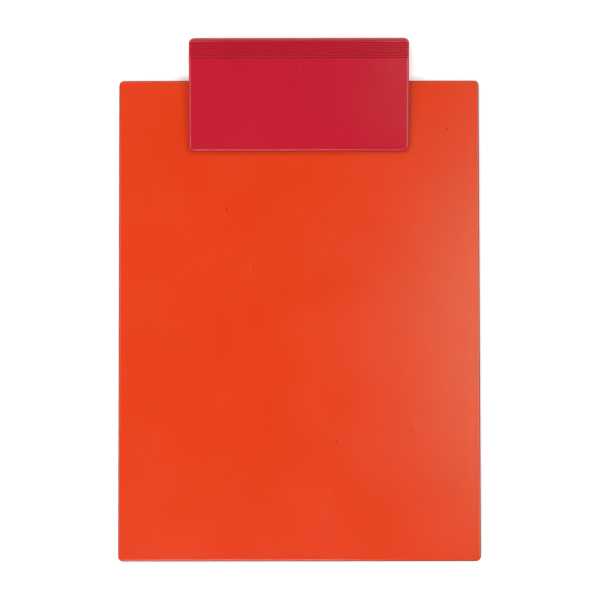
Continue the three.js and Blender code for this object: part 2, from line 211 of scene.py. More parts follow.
def skin(rings: Sequence[Sequence[Vector]]) -> Mesh:
    """Closes a solid over a stack of rings.

    Args:
        rings: Rings of points in millimetres, all with the same count and running the same way.

    Returns:
        A closed mesh in metres, with its faces pointing out.
    """
    bm = bmesh.new()
    made = [[bm.verts.new(point * MM) for point in ring] for ring in rings]
    for below, above in zip(made, made[1:]):
        for i in range(len(below)):
            j = (i + 1) % len(below)
            bm.faces.new((below[i], below[j], above[j], above[i]))
    bm.faces.new(reversed(made[0]))
    bm.faces.new(made[-1])
    return closed(bm)


def pillow(
    outline: Outline,
    low: float,
    high: float,
    low_round: EdgeRound,
    high_round: EdgeRound,
    plane: Plane = Plane.ACROSS,
    steps: int = 6,
) -> Mesh:
    """Pulls an outline between two levels and rounds both of its edges.

    Args:
        outline: The outline in its plane.
        low: The level that it starts from.
        high: The level that it ends at.
        low_round: The radius of the edge at the low level, from the outline's outward direction.
        high_round: The same for the edge at the high level.
        plane: Where the outline is drawn, and which way it is pulled.
        steps: How many faces go round each edge.

    Returns:
        The closed mesh.
    """
    sweep = [step / steps * math.pi / 2 for step in range(steps + 1)]
    lifts = [(low_round, low, 1, angle) for angle in sweep]
    lifts += [(high_round, high, -1, angle) for angle in reversed(sweep)]
    rings = []
    for radius_of, level, way, angle in lifts:
        ring = []
        for point, outward in zip(outline.points, outline.outward):
            radius = radius_of(outward)
            flat = point - outward * radius * (1 - math.sin(angle))
            height = level + way * radius * (1 - math.cos(angle))
            ring.append(plane.value @ Vector((flat.x, flat.y, height)))
        rings.append(ring)
    return skin(rings)


def block(low: Triple, high: Triple, edge: float) -> Mesh:
    """A block between two corners, with its edges rounded by that radius.

    Args:
        low: Its lowest corner.
        high: Its highest corner.
        edge: The radius of its edges.

    Returns:
        The closed mesh.
    """
    corner = edge * BLOCK_CORNER
    outline = Outline.rounded(low[:2], high[:2], (corner,) * 4, steps=3)
    return pillow(outline, low[2], high[2], plain_round(edge), plain_round(edge), steps=3)


def turned(profile: Sequence[Pair], turn: Matrix, steps: int = 40) -> Mesh:
    """Turns a profile about an axis, as a lathe does.

    Args:
        profile: Points of (radius, place along the axis) in millimetres; it starts and ends on the axis, or
            closes on itself.
        turn: What puts the Z axis of the lathe where the piece's axis is, in millimetres.
        steps: How many faces go round.

    Returns:
        The closed mesh.
    """
    bm = bmesh.new()
    rings = []
    for radius, along in profile:
        spread = steps if radius > 0 else 1
        angles = [2 * math.pi * i / steps for i in range(spread)]
        points = [Vector((radius * math.cos(a), radius * math.sin(a), along)) for a in angles]
        rings.append([bm.verts.new((turn @ point) * MM) for point in points])
    for first, second in zip(rings, rings[1:]):
        for i in range(steps):
            j = (i + 1) % steps
            loop = [first[i % len(first)], first[j % len(first)]]
            loop += [second[j % len(second)], second[i % len(second)]]
            face = list(dict.fromkeys(loop))
            if len(face) > 2:
                bm.faces.new(face)
    return closed(bm)


def arc(centre: Pair, radii: Pair, start: float, end: float, steps: int) -> list[Pair]:
    """Points along an ellipse from one angle to another, in degrees."""
    angles = [math.radians(start + (end - start) * i / steps) for i in range(steps + 1)]
    return [(centre[0] + radii[0] * math.cos(a), centre[1] + radii[1] * math.sin(a)) for a in angles]


def evaluated(obj: bpy.types.Object) -> Mesh:
    """A plain mesh of what an object's modifiers make; the object is removed.

    Args:
        obj: The object.

    Returns:
        The mesh.
    """
    graph = bpy.context.evaluated_depsgraph_get()
    mesh = bpy.data.meshes.new_from_object(obj.evaluated_get(graph), depsgraph=graph)
    bpy.data.objects.remove(obj)
    return mesh


def scratch_object(name: str, mesh: Mesh) -> bpy.types.Object:
    """An object that is only there while a mesh is worked out.

    Args:
        name: Its name.
        mesh: Its mesh.

    Returns:
        The object.
    """
    obj = bpy.data.objects.new(name, mesh)
    bpy.context.scene.collection.objects.link(obj)
    return obj


def carve(body: Mesh, steps: Sequence[tuple[Joining, Mesh]]) -> Mesh:
    """Joins solids to a body and cuts solids out of it.

    Args:
        body: The solid to start from.
        steps: What to do with each further solid, in order.

    Returns:
        The finished solid.
    """
    target = scratch_object("carving", body)
    tools = []
    for number, (joining, mesh) in enumerate(steps):
        tool = scratch_object(f"tool_{number}", mesh)
        tool.hide_render = True
        modifier = target.modifiers.new(f"step_{number}", "BOOLEAN")
        modifier.operation = joining.value
        modifier.solver = "MANIFOLD"
        modifier.object = tool
        tools.append(tool)
    bpy.context.view_layer.update()
    result = evaluated(target)
    for tool in tools:
        bpy.data.objects.remove(tool)
    return result


def merged(meshes: Sequence[Mesh], turn: Matrix | None = None) -> Mesh:
    """Several separate solids as one mesh, moved by turn if it is given.

    Args:
        meshes: The solids.
        turn: What moves them, in metres.

    Returns:
        The joined mesh.
    """
    bm = bmesh.new()
    for mesh in meshes:
        bm.from_mesh(mesh)
    if turn is not None:
        bmesh.ops.transform(bm, matrix=turn, verts=bm.verts)
    return freed(bm)


# -------- node helpers


class Sheet:
    """Adds nodes to a node tree and links them, so that a tree reads as a list of steps."""

    def __init__(self, tree: bpy.types.NodeTree) -> None:
        """Starts on an empty tree."""
        self.tree = tree
        tree.nodes.clear()

    def node(self, kind: str, inputs: Mapping[Any, Any] | None = None, **settings: Any) -> Node:
        """Adds one node.

        Args:
            kind: The node's type name.
            inputs: Socket names or indices, with a value or the socket that feeds each.
            **settings: The node's own settings, such as its operation.

        Returns:
            The new node.
        """
        node = self.tree.nodes.new(kind)
        for key, value in settings.items():
            setattr(node, key, value)
        for key, value in (inputs or {}).items():
            if isinstance(value, Socket):
                self.tree.links.new(value, node.inputs[key])
            else:
                node.inputs[key].default_value = value
        return node

    def math(self, operation: str, *values: float | Socket, clamp: bool = False) -> Socket:
        """The result of a Math node."""
        node = self.node("ShaderNodeMath", dict(enumerate(values)), operation=operation, use_clamp=clamp)
        return node.outputs[0]

    def band(self, value: Socket, low: float, high: float, to: Pair = (0, 1)) -> Socket:
        """A value eased from one range to another, and held at the ends."""
        limits = {"Value": value, "From Min": low, "From Max": high, "To Min": to[0], "To Max": to[1]}
        return self.node("ShaderNodeMapRange", limits, interpolation_type="SMOOTHSTEP").outputs["Result"]

    def mix(self, share: float | Socket, first: Any, second: Any) -> Socket:
        """One colour mixed with another.

        Args:
            share: How much of the second colour shows.
            first: The first colour.
            second: The second colour.

        Returns:
            The mixed colour.
        """
        feeds = {"Factor": share, "A": first, "B": second}
        node = self.node("ShaderNodeMix", data_type="RGBA")
        for key, value in feeds.items():
            socket = next(s for s in node.inputs if s.name == key and s.enabled)
            if isinstance(value, Socket):
                self.tree.links.new(value, socket)
            else:
                socket.default_value = (*value, 1.0) if key != "Factor" else value
        return next(s for s in node.outputs if s.enabled)

    def noise(self, place: Socket, size: float, detail: float) -> Socket:
        """Noise whose lumps are about size millimetres across."""
        feeds = {"Vector": place, "Scale": 1 / (size * MM), "Detail": detail, "Roughness": NOISE_ROUGHNESS}
        return self.node("ShaderNodeTexNoise", feeds).outputs["Fac"]

    def stretched_noise(self, place: Socket, scale: Triple, turn: float, detail: float) -> Socket:
        """Noise drawn out into lines by a different scale along each axis.

        Args:
            place: The coordinate.
            scale: The scale along each axis.
            turn: How far the lines are turned about Z, in radians.
            detail: How many finer layers the noise has.

        Returns:
            The noise.
        """
        feeds = {"Vector": place, "Rotation": (0, 0, turn), "Scale": scale}
        drawn = self.node("ShaderNodeMapping", feeds).outputs[0]
        feeds = {"Vector": drawn, "Scale": 1.0, "Detail": detail}
        return self.node("ShaderNodeTexNoise", feeds).outputs["Fac"]

    def bump(self, height: Socket, depth: float, under: Socket | None = None) -> Socket:
        """A bump of that many millimetres, over another normal if it is given.

        Args:
            height: The height, from 0 to 1.
            depth: How far 1 stands out, or sinks in where it is negative.
            under: The other normal.

        Returns:
            The new normal.
        """
        feeds = {"Height": height, "Distance": abs(depth) * MM, "Strength": 1.0}
        if under is not None:
            feeds["Normal"] = under
        return self.node("ShaderNodeBump", feeds, invert=depth < 0).outputs["Normal"]

    def dots(self, place: Socket, cell: float, share: float, size: float) -> Socket:
        """Dots strewn over the surface.

        Args:
            place: The coordinate.
            cell: About how far apart the dots could be, in millimetres.
            share: The share of those places that hold a dot.
            size: A dot's radius in millimetres.

        Returns:
            1 in a dot and 0 elsewhere.
        """
        feeds = {"Vector": place, "Scale": 1 / (cell * MM), "Randomness": 1.0}
        cells = self.node("ShaderNodeTexVoronoi", feeds, voronoi_dimensions="2D")
        dot = self.band(cells.outputs["Distance"], size / cell / 2, size / cell, to=(1, 0))
        parts = self.node("ShaderNodeSeparateColor", {"Color": cells.outputs["Color"]})
        chosen = self.math("LESS_THAN", parts.outputs["Red"], share)
        return self.math("MULTIPLY", dot, chosen)


# -------- finishes


@dataclass(frozen=True)
class Finish:
    """What a surface is made of. Each kind of finish says how its nodes are laid out."""

    name: str

    def nodes(self, sheet: Sheet) -> Node:
        """Lays out the shader and returns it."""
        raise NotImplementedError

    def material(self) -> Material:
        """The finish as a material.

        Returns:
            The material.
        """
        material = bpy.data.materials.new(self.name)
        material.use_nodes = True
        sheet = Sheet(material.node_tree)
        shader = self.nodes(sheet)
        sheet.node("ShaderNodeOutputMaterial", {"Surface": shader.outputs[0]})
        return material


@dataclass(frozen=True)
class MouldedPlastic(Finish):
    """Glossy moulded plastic: a faint flow mottle, a few specks and marks, a fine skin, rougher edges and
    painted shade on them.

    Steep edges are tinted towards rim as painted shade, from a given place along Y on, and the skin is left
    out between the two places in grooves. Those are places along Y, and all lengths are in millimetres.
    """

    colour: Colour
    deep: Colour
    speck: Colour
    # The colour that steep edges are tinted towards: painted shade.
    rim: Colour
    roughness: float
    cloud_size: float = 70.0
    flow_size: float = 9.0
    flow_share: float = 0.3
    mottle_span: Pair = (0.35, 0.68)
    smear: float = 0.04
    smear_size: float = 38.0
    smear_span: Pair = (0.3, 0.75)
    speck_cell: float = 24.0
    speck_share: float = 0.05
    speck_size: float = 0.85
    speck_strength: float = 0.75
    skin_depth: float = 0.02
    skin_size: float = 0.9
    scratch: float = 0.0
    scratch_depth: float = 0.008
    scratch_scale: Triple = (2600.0, 45.0, 1.0)
    scratch_turn: float = 0.3
    scratch_span: Pair = (0.74, 0.8)
    patch_size: float = 34.0
    patch_span: Pair = (0.55, 0.68)
    dent: float = 0.0
    dent_cell: float = 9.0
    dent_share: float = 0.1
    dent_size: float = 0.55
    scuff: Colour = (0.6, 0.3, 0.3)
    scuff_share: float = 0.12
    rim_slope: float = 0.82
    # How much painted shade steep edges get, and the place along Y where it starts and eases in.
    rim_wear: float = 0.8
    rim_roughness: float = 0.5
    worn_from: float = -1000.0
    worn_ease: float = 2.5
    grooves: Pair = (1000.0, 1001.0)
    groove_ease: float = 0.5
    ior: float = 1.49

    def nodes(self, sheet: Sheet) -> Node:
        """Lays out the shader and returns it.

        Args:
            sheet: The tree.

        Returns:
            The shader.
        """
        place = sheet.node("ShaderNodeTexCoord").outputs["Object"]
        along = sheet.node("ShaderNodeSeparateXYZ", {"Vector": place}).outputs["Y"]
        rim = self.edges(sheet)
        body = self.mottled(sheet, place)
        # Painted shade: steep edges are tinted towards the rim colour, from the given place along Y on.
        ease = self.worn_ease * MM
        start = self.worn_from * MM
        worn = sheet.band(along, start, start + ease, to=(0.0, self.rim_wear))
        body = sheet.mix(sheet.math("MULTIPLY", rim, worn), body, self.rim)
        smear = sheet.band(sheet.noise(place, size=self.smear_size, detail=5.0), *self.smear_span)
        rough = sheet.math("MULTIPLY_ADD", smear, self.smear, self.roughness - self.smear / 2)
        rough = sheet.math("MULTIPLY_ADD", rim, self.rim_roughness, rough)
        pores = sheet.noise(place, size=self.skin_size, detail=2.0)
        height = sheet.math("MULTIPLY", pores, self.outside_grooves(sheet, along))
        normal = sheet.bump(height, self.skin_depth)
        if self.scratch:
            scratches = self.scratches(sheet, place)
            rough = sheet.math("MULTIPLY_ADD", scratches, self.scratch, rough)
            normal = sheet.bump(scratches, -self.scratch_depth, normal)
        if self.dent:
            dents = sheet.dots(place, self.dent_cell, self.dent_share, self.dent_size)
            normal = sheet.bump(dents, -self.dent, normal)
            body = sheet.mix(sheet.math("MULTIPLY", dents, self.scuff_share), body, self.scuff)
        feeds = {"Base Color": body, "Roughness": rough, "Normal": normal, "IOR": self.ior}
        return sheet.node("ShaderNodeBsdfPrincipled", feeds)

    def mottled(self, sheet: Sheet, place: Socket) -> Socket:
        """The body colour, with its mottle and its specks.

        Args:
            sheet: The tree.
            place: The coordinate.

        Returns:
            The colour.
        """
        cloud = sheet.noise(place, size=self.cloud_size, detail=3.0)
        flow = sheet.noise(place, size=self.flow_size, detail=4.0)
        wide = sheet.math("MULTIPLY", cloud, 1 - self.flow_share)
        mottle = sheet.math("ADD", wide, sheet.math("MULTIPLY", flow, self.flow_share))
        body = sheet.mix(sheet.band(mottle, *self.mottle_span), self.deep, self.colour)
        speck = sheet.dots(place, self.speck_cell, self.speck_share, self.speck_size)
        return sheet.mix(sheet.math("MULTIPLY", speck, self.speck_strength), body, self.speck)

    def edges(self, sheet: Sheet) -> Socket:
        """1 where the surface is steep, as it is round an edge, and 0 where it is level.

        Args:
            sheet: The tree.

        Returns:
            The share, from 0 to 1.
        """
        normal = sheet.node("ShaderNodeTexCoord").outputs["Normal"]
        upright = sheet.node("ShaderNodeSeparateXYZ", {"Vector": normal}).outputs["Z"]
        return sheet.band(sheet.math("ABSOLUTE", upright), self.rim_slope, 1.0, to=(1.0, 0.0))

    def outside_grooves(self, sheet: Sheet, along: Socket) -> Socket:
        """1 away from the stretch along Y that holds the grip grooves, and 0 in it.

        Args:
            sheet: The tree.
            along: The place along Y, in metres.

        Returns:
            The share, from 0 to 1.
        """
        start, end = (y * MM for y in self.grooves)
        ease = self.groove_ease * MM
        before = sheet.band(along, start, start + ease, to=(1, 0))
        return sheet.math("MAXIMUM", before, sheet.band(along, end, end + ease))

    def scratches(self, sheet: Sheet, place: Socket) -> Socket:
        """Fine scratches that run roughly along the surface, in a few places only.

        Args:
            sheet: The tree.
            place: The coordinate.

        Returns:
            1 in a scratch and 0 elsewhere.
        """
        lines = sheet.stretched_noise(place, self.scratch_scale, self.scratch_turn, detail=0.0)
        thin = sheet.band(lines, *self.scratch_span)
        patch = sheet.band(sheet.noise(place, size=self.patch_size, detail=1.0), *self.patch_span)
        return sheet.math("MULTIPLY", thin, patch)


@dataclass(frozen=True)
class GripRubber(Finish):
    """Dull dark rubber with a fine pebbled skin and a little dust."""

    colour: Colour = (0.03, 0.026, 0.028)
    worn: Colour = (0.06, 0.053, 0.055)
    roughness: float = 0.72
    pebble_size: float = 0.35
    pebble_depth: float = 0.04
    dust_size: float = 6.0
    dust_span: Pair = (0.4, 0.75)
    dust_roughness: float = 0.12
    ior: float = 1.5

    def nodes(self, sheet: Sheet) -> Node:
        """Lays out the shader and returns it.

        Args:
            sheet: The tree.

        Returns:
            The shader.
        """
        place = sheet.node("ShaderNodeTexCoord").outputs["Object"]
        pebbles = sheet.noise(place, size=self.pebble_size, detail=3.0)
        dust = sheet.band(sheet.noise(place, size=self.dust_size, detail=4.0), *self.dust_span)
        feeds = {
            "Base Color": sheet.mix(dust, self.colour, self.worn),
            "Roughness": sheet.math("MULTIPLY_ADD", dust, self.dust_roughness, self.roughness),
            "Normal": sheet.bump(pebbles, self.pebble_depth),
            "IOR": self.ior,
        }
        return sheet.node("ShaderNodeBsdfPrincipled", feeds)


@dataclass(frozen=True)
class DrawnSteel(Finish):
    """Steel with fine marks along X from drawing or turning, and a little tarnish."""

    colour: Colour = (0.58, 0.59, 0.6)
    tarnish: Colour = (0.4, 0.39, 0.37)
    roughness: float = 0.24
    mark_depth: float = 0.006
    mark_scale: Triple = (90.0, 5200.0, 5200.0)
    mark_roughness: float = 0.16
    stain_size: float = 5.0
    stain_span: Pair = (0.5, 0.8)
    stain_share: float = 0.6
    stain_roughness: float = 0.15

    def nodes(self, sheet: Sheet) -> Node:
        """Lays out the shader and returns it.

        Args:
            sheet: The tree.

        Returns:
            The shader.
        """
        place = sheet.node("ShaderNodeTexCoord").outputs["Object"]
        marks = sheet.stretched_noise(place, self.mark_scale, 0.0, detail=3.0)
        stain = sheet.band(sheet.noise(place, size=self.stain_size, detail=5.0), *self.stain_span)
        base = self.roughness - self.mark_roughness / 2
        wear = sheet.math("MULTIPLY_ADD", marks, self.mark_roughness, base)
        share = sheet.math("MULTIPLY", stain, self.stain_share)
        feeds = {
            "Base Color": sheet.mix(share, self.colour, self.tarnish),
            "Metallic": 1.0,
            "Roughness": sheet.math("MULTIPLY_ADD", stain, self.stain_roughness, wear),
            "Normal": sheet.bump(marks, self.mark_depth),
        }
        return sheet.node("ShaderNodeBsdfPrincipled", feeds)


PANEL_FINISH = MouldedPlastic(
    "orange_moulded_panel",
    colour=(0.67, 0.038, 0.0045),
    deep=(0.65, 0.036, 0.0042),
    speck=(0.2, 0.015, 0.006),
    # Painted shade: a dark line along the panel's rounded edges.
    rim=(0.13, 0.02, 0.008),
    roughness=0.16,
    scratch=0.07,
)
CLIP_FINISH = MouldedPlastic(
    "crimson_moulded_clip",
    colour=(0.465, 0.0076, 0.0242),
    deep=(0.45, 0.007, 0.0232),
    speck=(0.2, 0.01, 0.02),
    # Painted shade and a painted grey reflection on the clip's rounded tail edges, from Y 166.2 mm on.
    rim=(0.33, 0.06, 0.075),
    roughness=0.13,
    speck_cell=19.0,
    speck_size=0.5,
    dent=0.03,
    worn_from=166.2,
    grooves=(155.5, 167.0),
)
PAD_FINISH = GripRubber("dark_grip_rubber")
PIN_FINISH = DrawnSteel("bright_pin_steel")
SPRING_FINISH = DrawnSteel(
    "spring_wire_steel",
    colour=(0.4, 0.41, 0.42),
    tarnish=(0.25, 0.22, 0.19),
    roughness=0.32,
)
RIVET_FINISH = DrawnSteel(
    "nickel_rivet",
    colour=(0.62, 0.59, 0.54),
    tarnish=(0.5, 0.46, 0.4),
    roughness=0.22,
)


# -------- repeated shapes


class Recipe:
    """A Geometry Nodes tree with named inputs. It starts from a mesh and ends as a plain mesh."""

    title = "recipe"
    inputs: Mapping[str, str] = {}

    def __init__(self) -> None:
        """Builds the tree."""
        self.tree = bpy.data.node_groups.new(self.title, "GeometryNodeTree")
        sheet = Sheet(self.tree)
        interface = self.tree.interface
        interface.new_socket("Geometry", in_out="OUTPUT", socket_type="NodeSocketGeometry")
        interface.new_socket("Geometry", in_out="INPUT", socket_type="NodeSocketGeometry")
        for name, kind in {**self.inputs, "Material": "NodeSocketMaterial"}.items():
            interface.new_socket(name, in_out="INPUT", socket_type=kind)
        given = sheet.node("NodeGroupInput").outputs
        shape = self.steps(sheet, given)
        real = sheet.node("GeometryNodeRealizeInstances", {"Geometry": shape}).outputs[0]
        dressed = sheet.node("GeometryNodeSetMaterial", {"Geometry": real, "Material": given["Material"]})
        sheet.node("NodeGroupOutput", {"Geometry": dressed.outputs[0]})

    def steps(self, sheet: Sheet, given: bpy.types.NodeOutputs) -> Socket:
        """Lays out the tree's own nodes and returns the geometry."""
        raise NotImplementedError

    def make(self, start: Mesh | None, material: Material | None, **values: Any) -> Mesh:
        """Runs the tree.

        Args:
            start: The mesh that it starts from, if it needs one.
            material: The finish of the result, if it is shown.
            **values: The inputs, by name with _ for a space.

        Returns:
            The result as a plain mesh.
        """
        obj = scratch_object(self.title, start or bpy.data.meshes.new(self.title))
        modifier = obj.modifiers.new(self.title, "NODES")
        modifier.node_group = self.tree
        wanted = {name.replace("_", " "): value for name, value in values.items()}
        wanted["Material"] = material
        for item in self.tree.interface.items_tree:
            if item.in_out == "INPUT" and item.name in wanted:
                modifier[item.identifier] = wanted[item.name]
        bpy.context.view_layer.update()
        return evaluated(obj)


class Row(Recipe):
    """Repeats a shape along a line, as grip grooves do."""

    title = "row"
    inputs = {"Count": "NodeSocketInt", "Step": "NodeSocketVector"}

    def steps(self, sheet: Sheet, given: bpy.types.NodeOutputs) -> Socket:
        """Lays out the tree's own nodes and returns the geometry.

        Args:
            sheet: The tree.
            given: The tree's inputs.

        Returns:
            The geometry.
        """
        line = sheet.node(
            "GeometryNodeMeshLine", {"Count": given["Count"], "Offset": given["Step"]}, mode="OFFSET"
        )
        feeds = {"Points": line.outputs[0], "Instance": given["Geometry"]}
        return sheet.node("GeometryNodeInstanceOnPoints", feeds).outputs[0]


class FourAcross(Recipe):
    """Sets a shape at two distances on each side of the middle, as the rivets and the ribs are."""

    title = "four_across"
    inputs = {"Inner": "NodeSocketFloat", "Outer": "NodeSocketFloat"}

    def steps(self, sheet: Sheet, given: bpy.types.NodeOutputs) -> Socket:
        """Lays out the tree's own nodes and returns the geometry.

        Args:
            sheet: The tree.
            given: The tree's inputs.

        Returns:
            The geometry.
        """
        join = sheet.node("GeometryNodeJoinGeometry")
        for name in self.inputs:
            opposite = sheet.math("MULTIPLY", given[name], -1.0)
            right = sheet.node("ShaderNodeCombineXYZ", {"X": given[name]}).outputs[0]
            left = sheet.node("ShaderNodeCombineXYZ", {"X": opposite}).outputs[0]
            feeds = {"Count": 2, "Start Location": left, "Offset": right}
            pair = sheet.node("GeometryNodeMeshLine", feeds, mode="END_POINTS")
            self.tree.links.new(pair.outputs[0], join.inputs[0])
        feeds = {"Points": join.outputs[0], "Instance": given["Geometry"]}
        return sheet.node("GeometryNodeInstanceOnPoints", feeds).outputs[0]


class CoiledWire(Recipe):
    """A torsion spring's wire: in along one straight leg, round the coil, and out along the other leg."""

    title = "coiled_wire"
    lengths = ("Wire Radius", "Coil Radius", "First Leg", "Last Leg", "From X", "To X")
    inputs = {
        **dict.fromkeys(("Points", "Sides"), "NodeSocketInt"),
        **dict.fromkeys((*lengths, "Leaves", "Wrap"), "NodeSocketFloat"),
        "Pin": "NodeSocketVector",
    }

    def steps(self, sheet: Sheet, given: bpy.types.NodeOutputs) -> Socket:
        """Lays out the tree's own nodes and returns the geometry.

        Args:
            sheet: The tree.
            given: The tree's inputs.

        Returns:
            The geometry.
        """
        calc = sheet.math
        coil = calc("MULTIPLY", given["Coil Radius"], given["Wrap"])
        total = calc("ADD", calc("ADD", given["First Leg"], given["Last Leg"]), coil)
        index = sheet.node("GeometryNodeInputIndex").outputs[0]
        share = calc("DIVIDE", index, calc("SUBTRACT", given["Points"], 1.0))
        at = calc("MULTIPLY_ADD", share, total, calc("MULTIPLY", given["First Leg"], -1.0))
        round_share = calc("DIVIDE", at, coil, clamp=True)
        before = calc("MAXIMUM", calc("MULTIPLY", at, -1.0), 0.0)
        after = calc("MAXIMUM", calc("SUBTRACT", at, coil), 0.0)
        angle = calc("SUBTRACT", given["Leaves"], calc("MULTIPLY", round_share, given["Wrap"]))
        slide = calc("SUBTRACT", before, after)
        sine = calc("SINE", angle)
        cosine = calc("COSINE", angle)
        sideways = calc("MULTIPLY", slide, calc("MULTIPLY", sine, -1.0))
        y = calc("MULTIPLY_ADD", given["Coil Radius"], cosine, sideways)
        z = calc("MULTIPLY_ADD", given["Coil Radius"], sine, calc("MULTIPLY", slide, cosine))
        reach = calc("SUBTRACT", given["To X"], given["From X"])
        x = calc("MULTIPLY_ADD", round_share, reach, given["From X"])
        place = sheet.node("ShaderNodeCombineXYZ", {"X": x, "Y": y, "Z": z}).outputs[0]
        place = sheet.node("ShaderNodeVectorMath", {0: place, 1: given["Pin"]}, operation="ADD").outputs[0]
        line = sheet.node("GeometryNodeMeshLine", {"Count": given["Points"]}, mode="OFFSET").outputs[0]
        bent = sheet.node("GeometryNodeSetPosition", {"Geometry": line, "Position": place}).outputs[0]
        path = sheet.node("GeometryNodeMeshToCurve", {"Mesh": bent}).outputs[0]
        ring = sheet.node("GeometryNodeCurvePrimitiveCircle", {"Resolution": given["Sides"]}, mode="RADIUS")
        radius = next(s for s in ring.inputs if s.name == "Radius" and s.enabled)
        self.tree.links.new(given["Wire Radius"], radius)
        feeds = {"Curve": path, "Profile Curve": ring.outputs[0], "Fill Caps": True}
        return sheet.node("GeometryNodeCurveToMesh", feeds).outputs[0]


# -------- pieces


@dataclass(frozen=True)
class Piece:
    """A shown piece: its name, the body that it rides on, its slot and the frame's nodes it stands for."""

    name: str
    body: Body
    slot: Slot
    nodes: tuple[str, ...]
    sharp_degrees: float = 32.0

    def place(self, mesh: Mesh, material: Material) -> bpy.types.Object:
        """Finishes a mesh as this piece, riding on its body.

        Args:
            mesh: The closed mesh, in place and in metres.
            material: Its finish.

        Returns:
            The piece's object.
        """
        obj = self.shaded(mesh, material)
        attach(obj, self.body.value)
        return self.declared(obj)

    def place_between(self, mesh: Mesh, material: Material) -> bpy.types.Object:
        """Finishes a mesh as a piece that rides on no body, with its place baked into the mesh.

        Args:
            mesh: The closed mesh, in place and in metres.
            material: Its finish.

        Returns:
            The piece's object.
        """
        obj = self.shaded(mesh, material)
        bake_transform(obj)
        return self.declared(obj)

    def shaded(self, mesh: Mesh, material: Material) -> bpy.types.Object:
        """An object whose flats are flat and whose rounds are smooth.

        Args:
            mesh: The closed mesh, in place and in metres.
            material: Its finish.

        Returns:
            The object.
        """
        tidy = bmesh.new()
        tidy.from_mesh(mesh)
        bmesh.ops.remove_doubles(tidy, verts=tidy.verts, dist=2 * SLIVER)
        bmesh.ops.dissolve_degenerate(tidy, edges=tidy.edges, dist=SLIVER)
        bmesh.ops.triangulate(tidy, faces=[f for f in tidy.faces if len(f.verts) > 4])
        tidy.to_mesh(mesh)
        tidy.free()
        mesh.materials.clear()
        mesh.materials.append(material)
        mesh.shade_smooth()
        mesh.set_sharp_from_angle(angle=math.radians(self.sharp_degrees))
        obj = scratch_object(self.name, mesh)
        weighting = obj.modifiers.new("flats", "WEIGHTED_NORMAL")
        weighting.keep_sharp = True
        weighting.weight = 100
        bpy.context.view_layer.update()
        final = evaluated(obj)
        final.name = self.name
        return scratch_object(self.name, final)

    def declared(self, obj: bpy.types.Object) -> bpy.types.Object:
        """Hides the frame's nodes that the piece stands for, and logs it.

        Args:
            obj: The piece's object.

        Returns:
            The same object.
        """
        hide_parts(*self.nodes)
        LOG.info("%s: %d faces on %s", self.name, len(obj.data.polygons), self.body.value)
        return obj


def box_mm(node: str) -> tuple[Vector, Vector]:
    """A frame node's lowest and highest corners in millimetres."""
    low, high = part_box(node)
    return low / MM, high / MM


@dataclass(frozen=True)
class Hinge:
    """The pin's place and how far the lever leans on it, both read from the frame."""

    centre: Vector
    lean: float

    @classmethod
    def from_frame(cls) -> "Hinge":
        """Reads the joint, and the lean of the lever's largest face.

        Returns:
            The hinge.
        """
        joint = frame["joints"][0]
        mesh = frame["nodes"]["clip_lever"].data
        face = max(mesh.polygons, key=lambda polygon: polygon.area)
        return cls(Vector(joint["pos_m"]) / MM, math.atan2(-face.normal.y, face.normal.z))

    @property
    def to_frame(self) -> Matrix:
        """Takes a mesh in metres from the lever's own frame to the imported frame's axes."""
        return Matrix.Translation(self.centre * MM) @ Matrix.Rotation(self.lean, 4, "X")

    def lever_box(self, node: str) -> tuple[Vector, Vector]:
        """A node's lowest and highest corners in the lever's frame, in millimetres.

        Args:
            node: The node's name.

        Returns:
            The two corners.
        """
        back = self.to_frame.inverted()
        corners = [back @ vertex.co / MM for vertex in frame["nodes"][node].data.vertices]
        low = Vector(tuple(min(c[i] for c in corners) for i in range(3)))
        high = Vector(tuple(max(c[i] for c in corners) for i in range(3)))
        return low, high


@dataclass(frozen=True)
class GripBand:
    """The band of grip grooves at a tail."""

    count: int = 7
    pitch: float = 1.58
    inset: float = 3.5
    depth: float = 0.8
    mouth: float = 0.84
    reach: float = 80.0
    lift: float = 1.0
    points: int = 14

    def cutter(self, end: float, face: float, out: int) -> Mesh:
        """The solid that cuts the grooves.

        Args:
            end: Where the tail ends along Y.
            face: The height of the face that is cut.
            out: 1 where the face looks up and -1 where it looks down.

        Returns:
            The bars of all the grooves.
        """
        middle = end - self.inset
        trough = []
        for i in range(self.points + 1):
            share = i / self.points
            drop = self.depth * (1 - math.cos(2 * math.pi * share)) / 2
            trough.append((middle + (share - 0.5) * self.mouth, face - out * drop))
        lid = face + out * self.lift
        section = [*trough, (trough[-1][0], lid), (trough[0][0], lid)]
        rings = [[Vector((x, y, z)) for y, z in section] for x in (-self.reach, self.reach)]
        bar = skin(rings)
        return Row().make(bar, None, Count=self.count, Step=Vector((0, -self.pitch * MM, 0)))


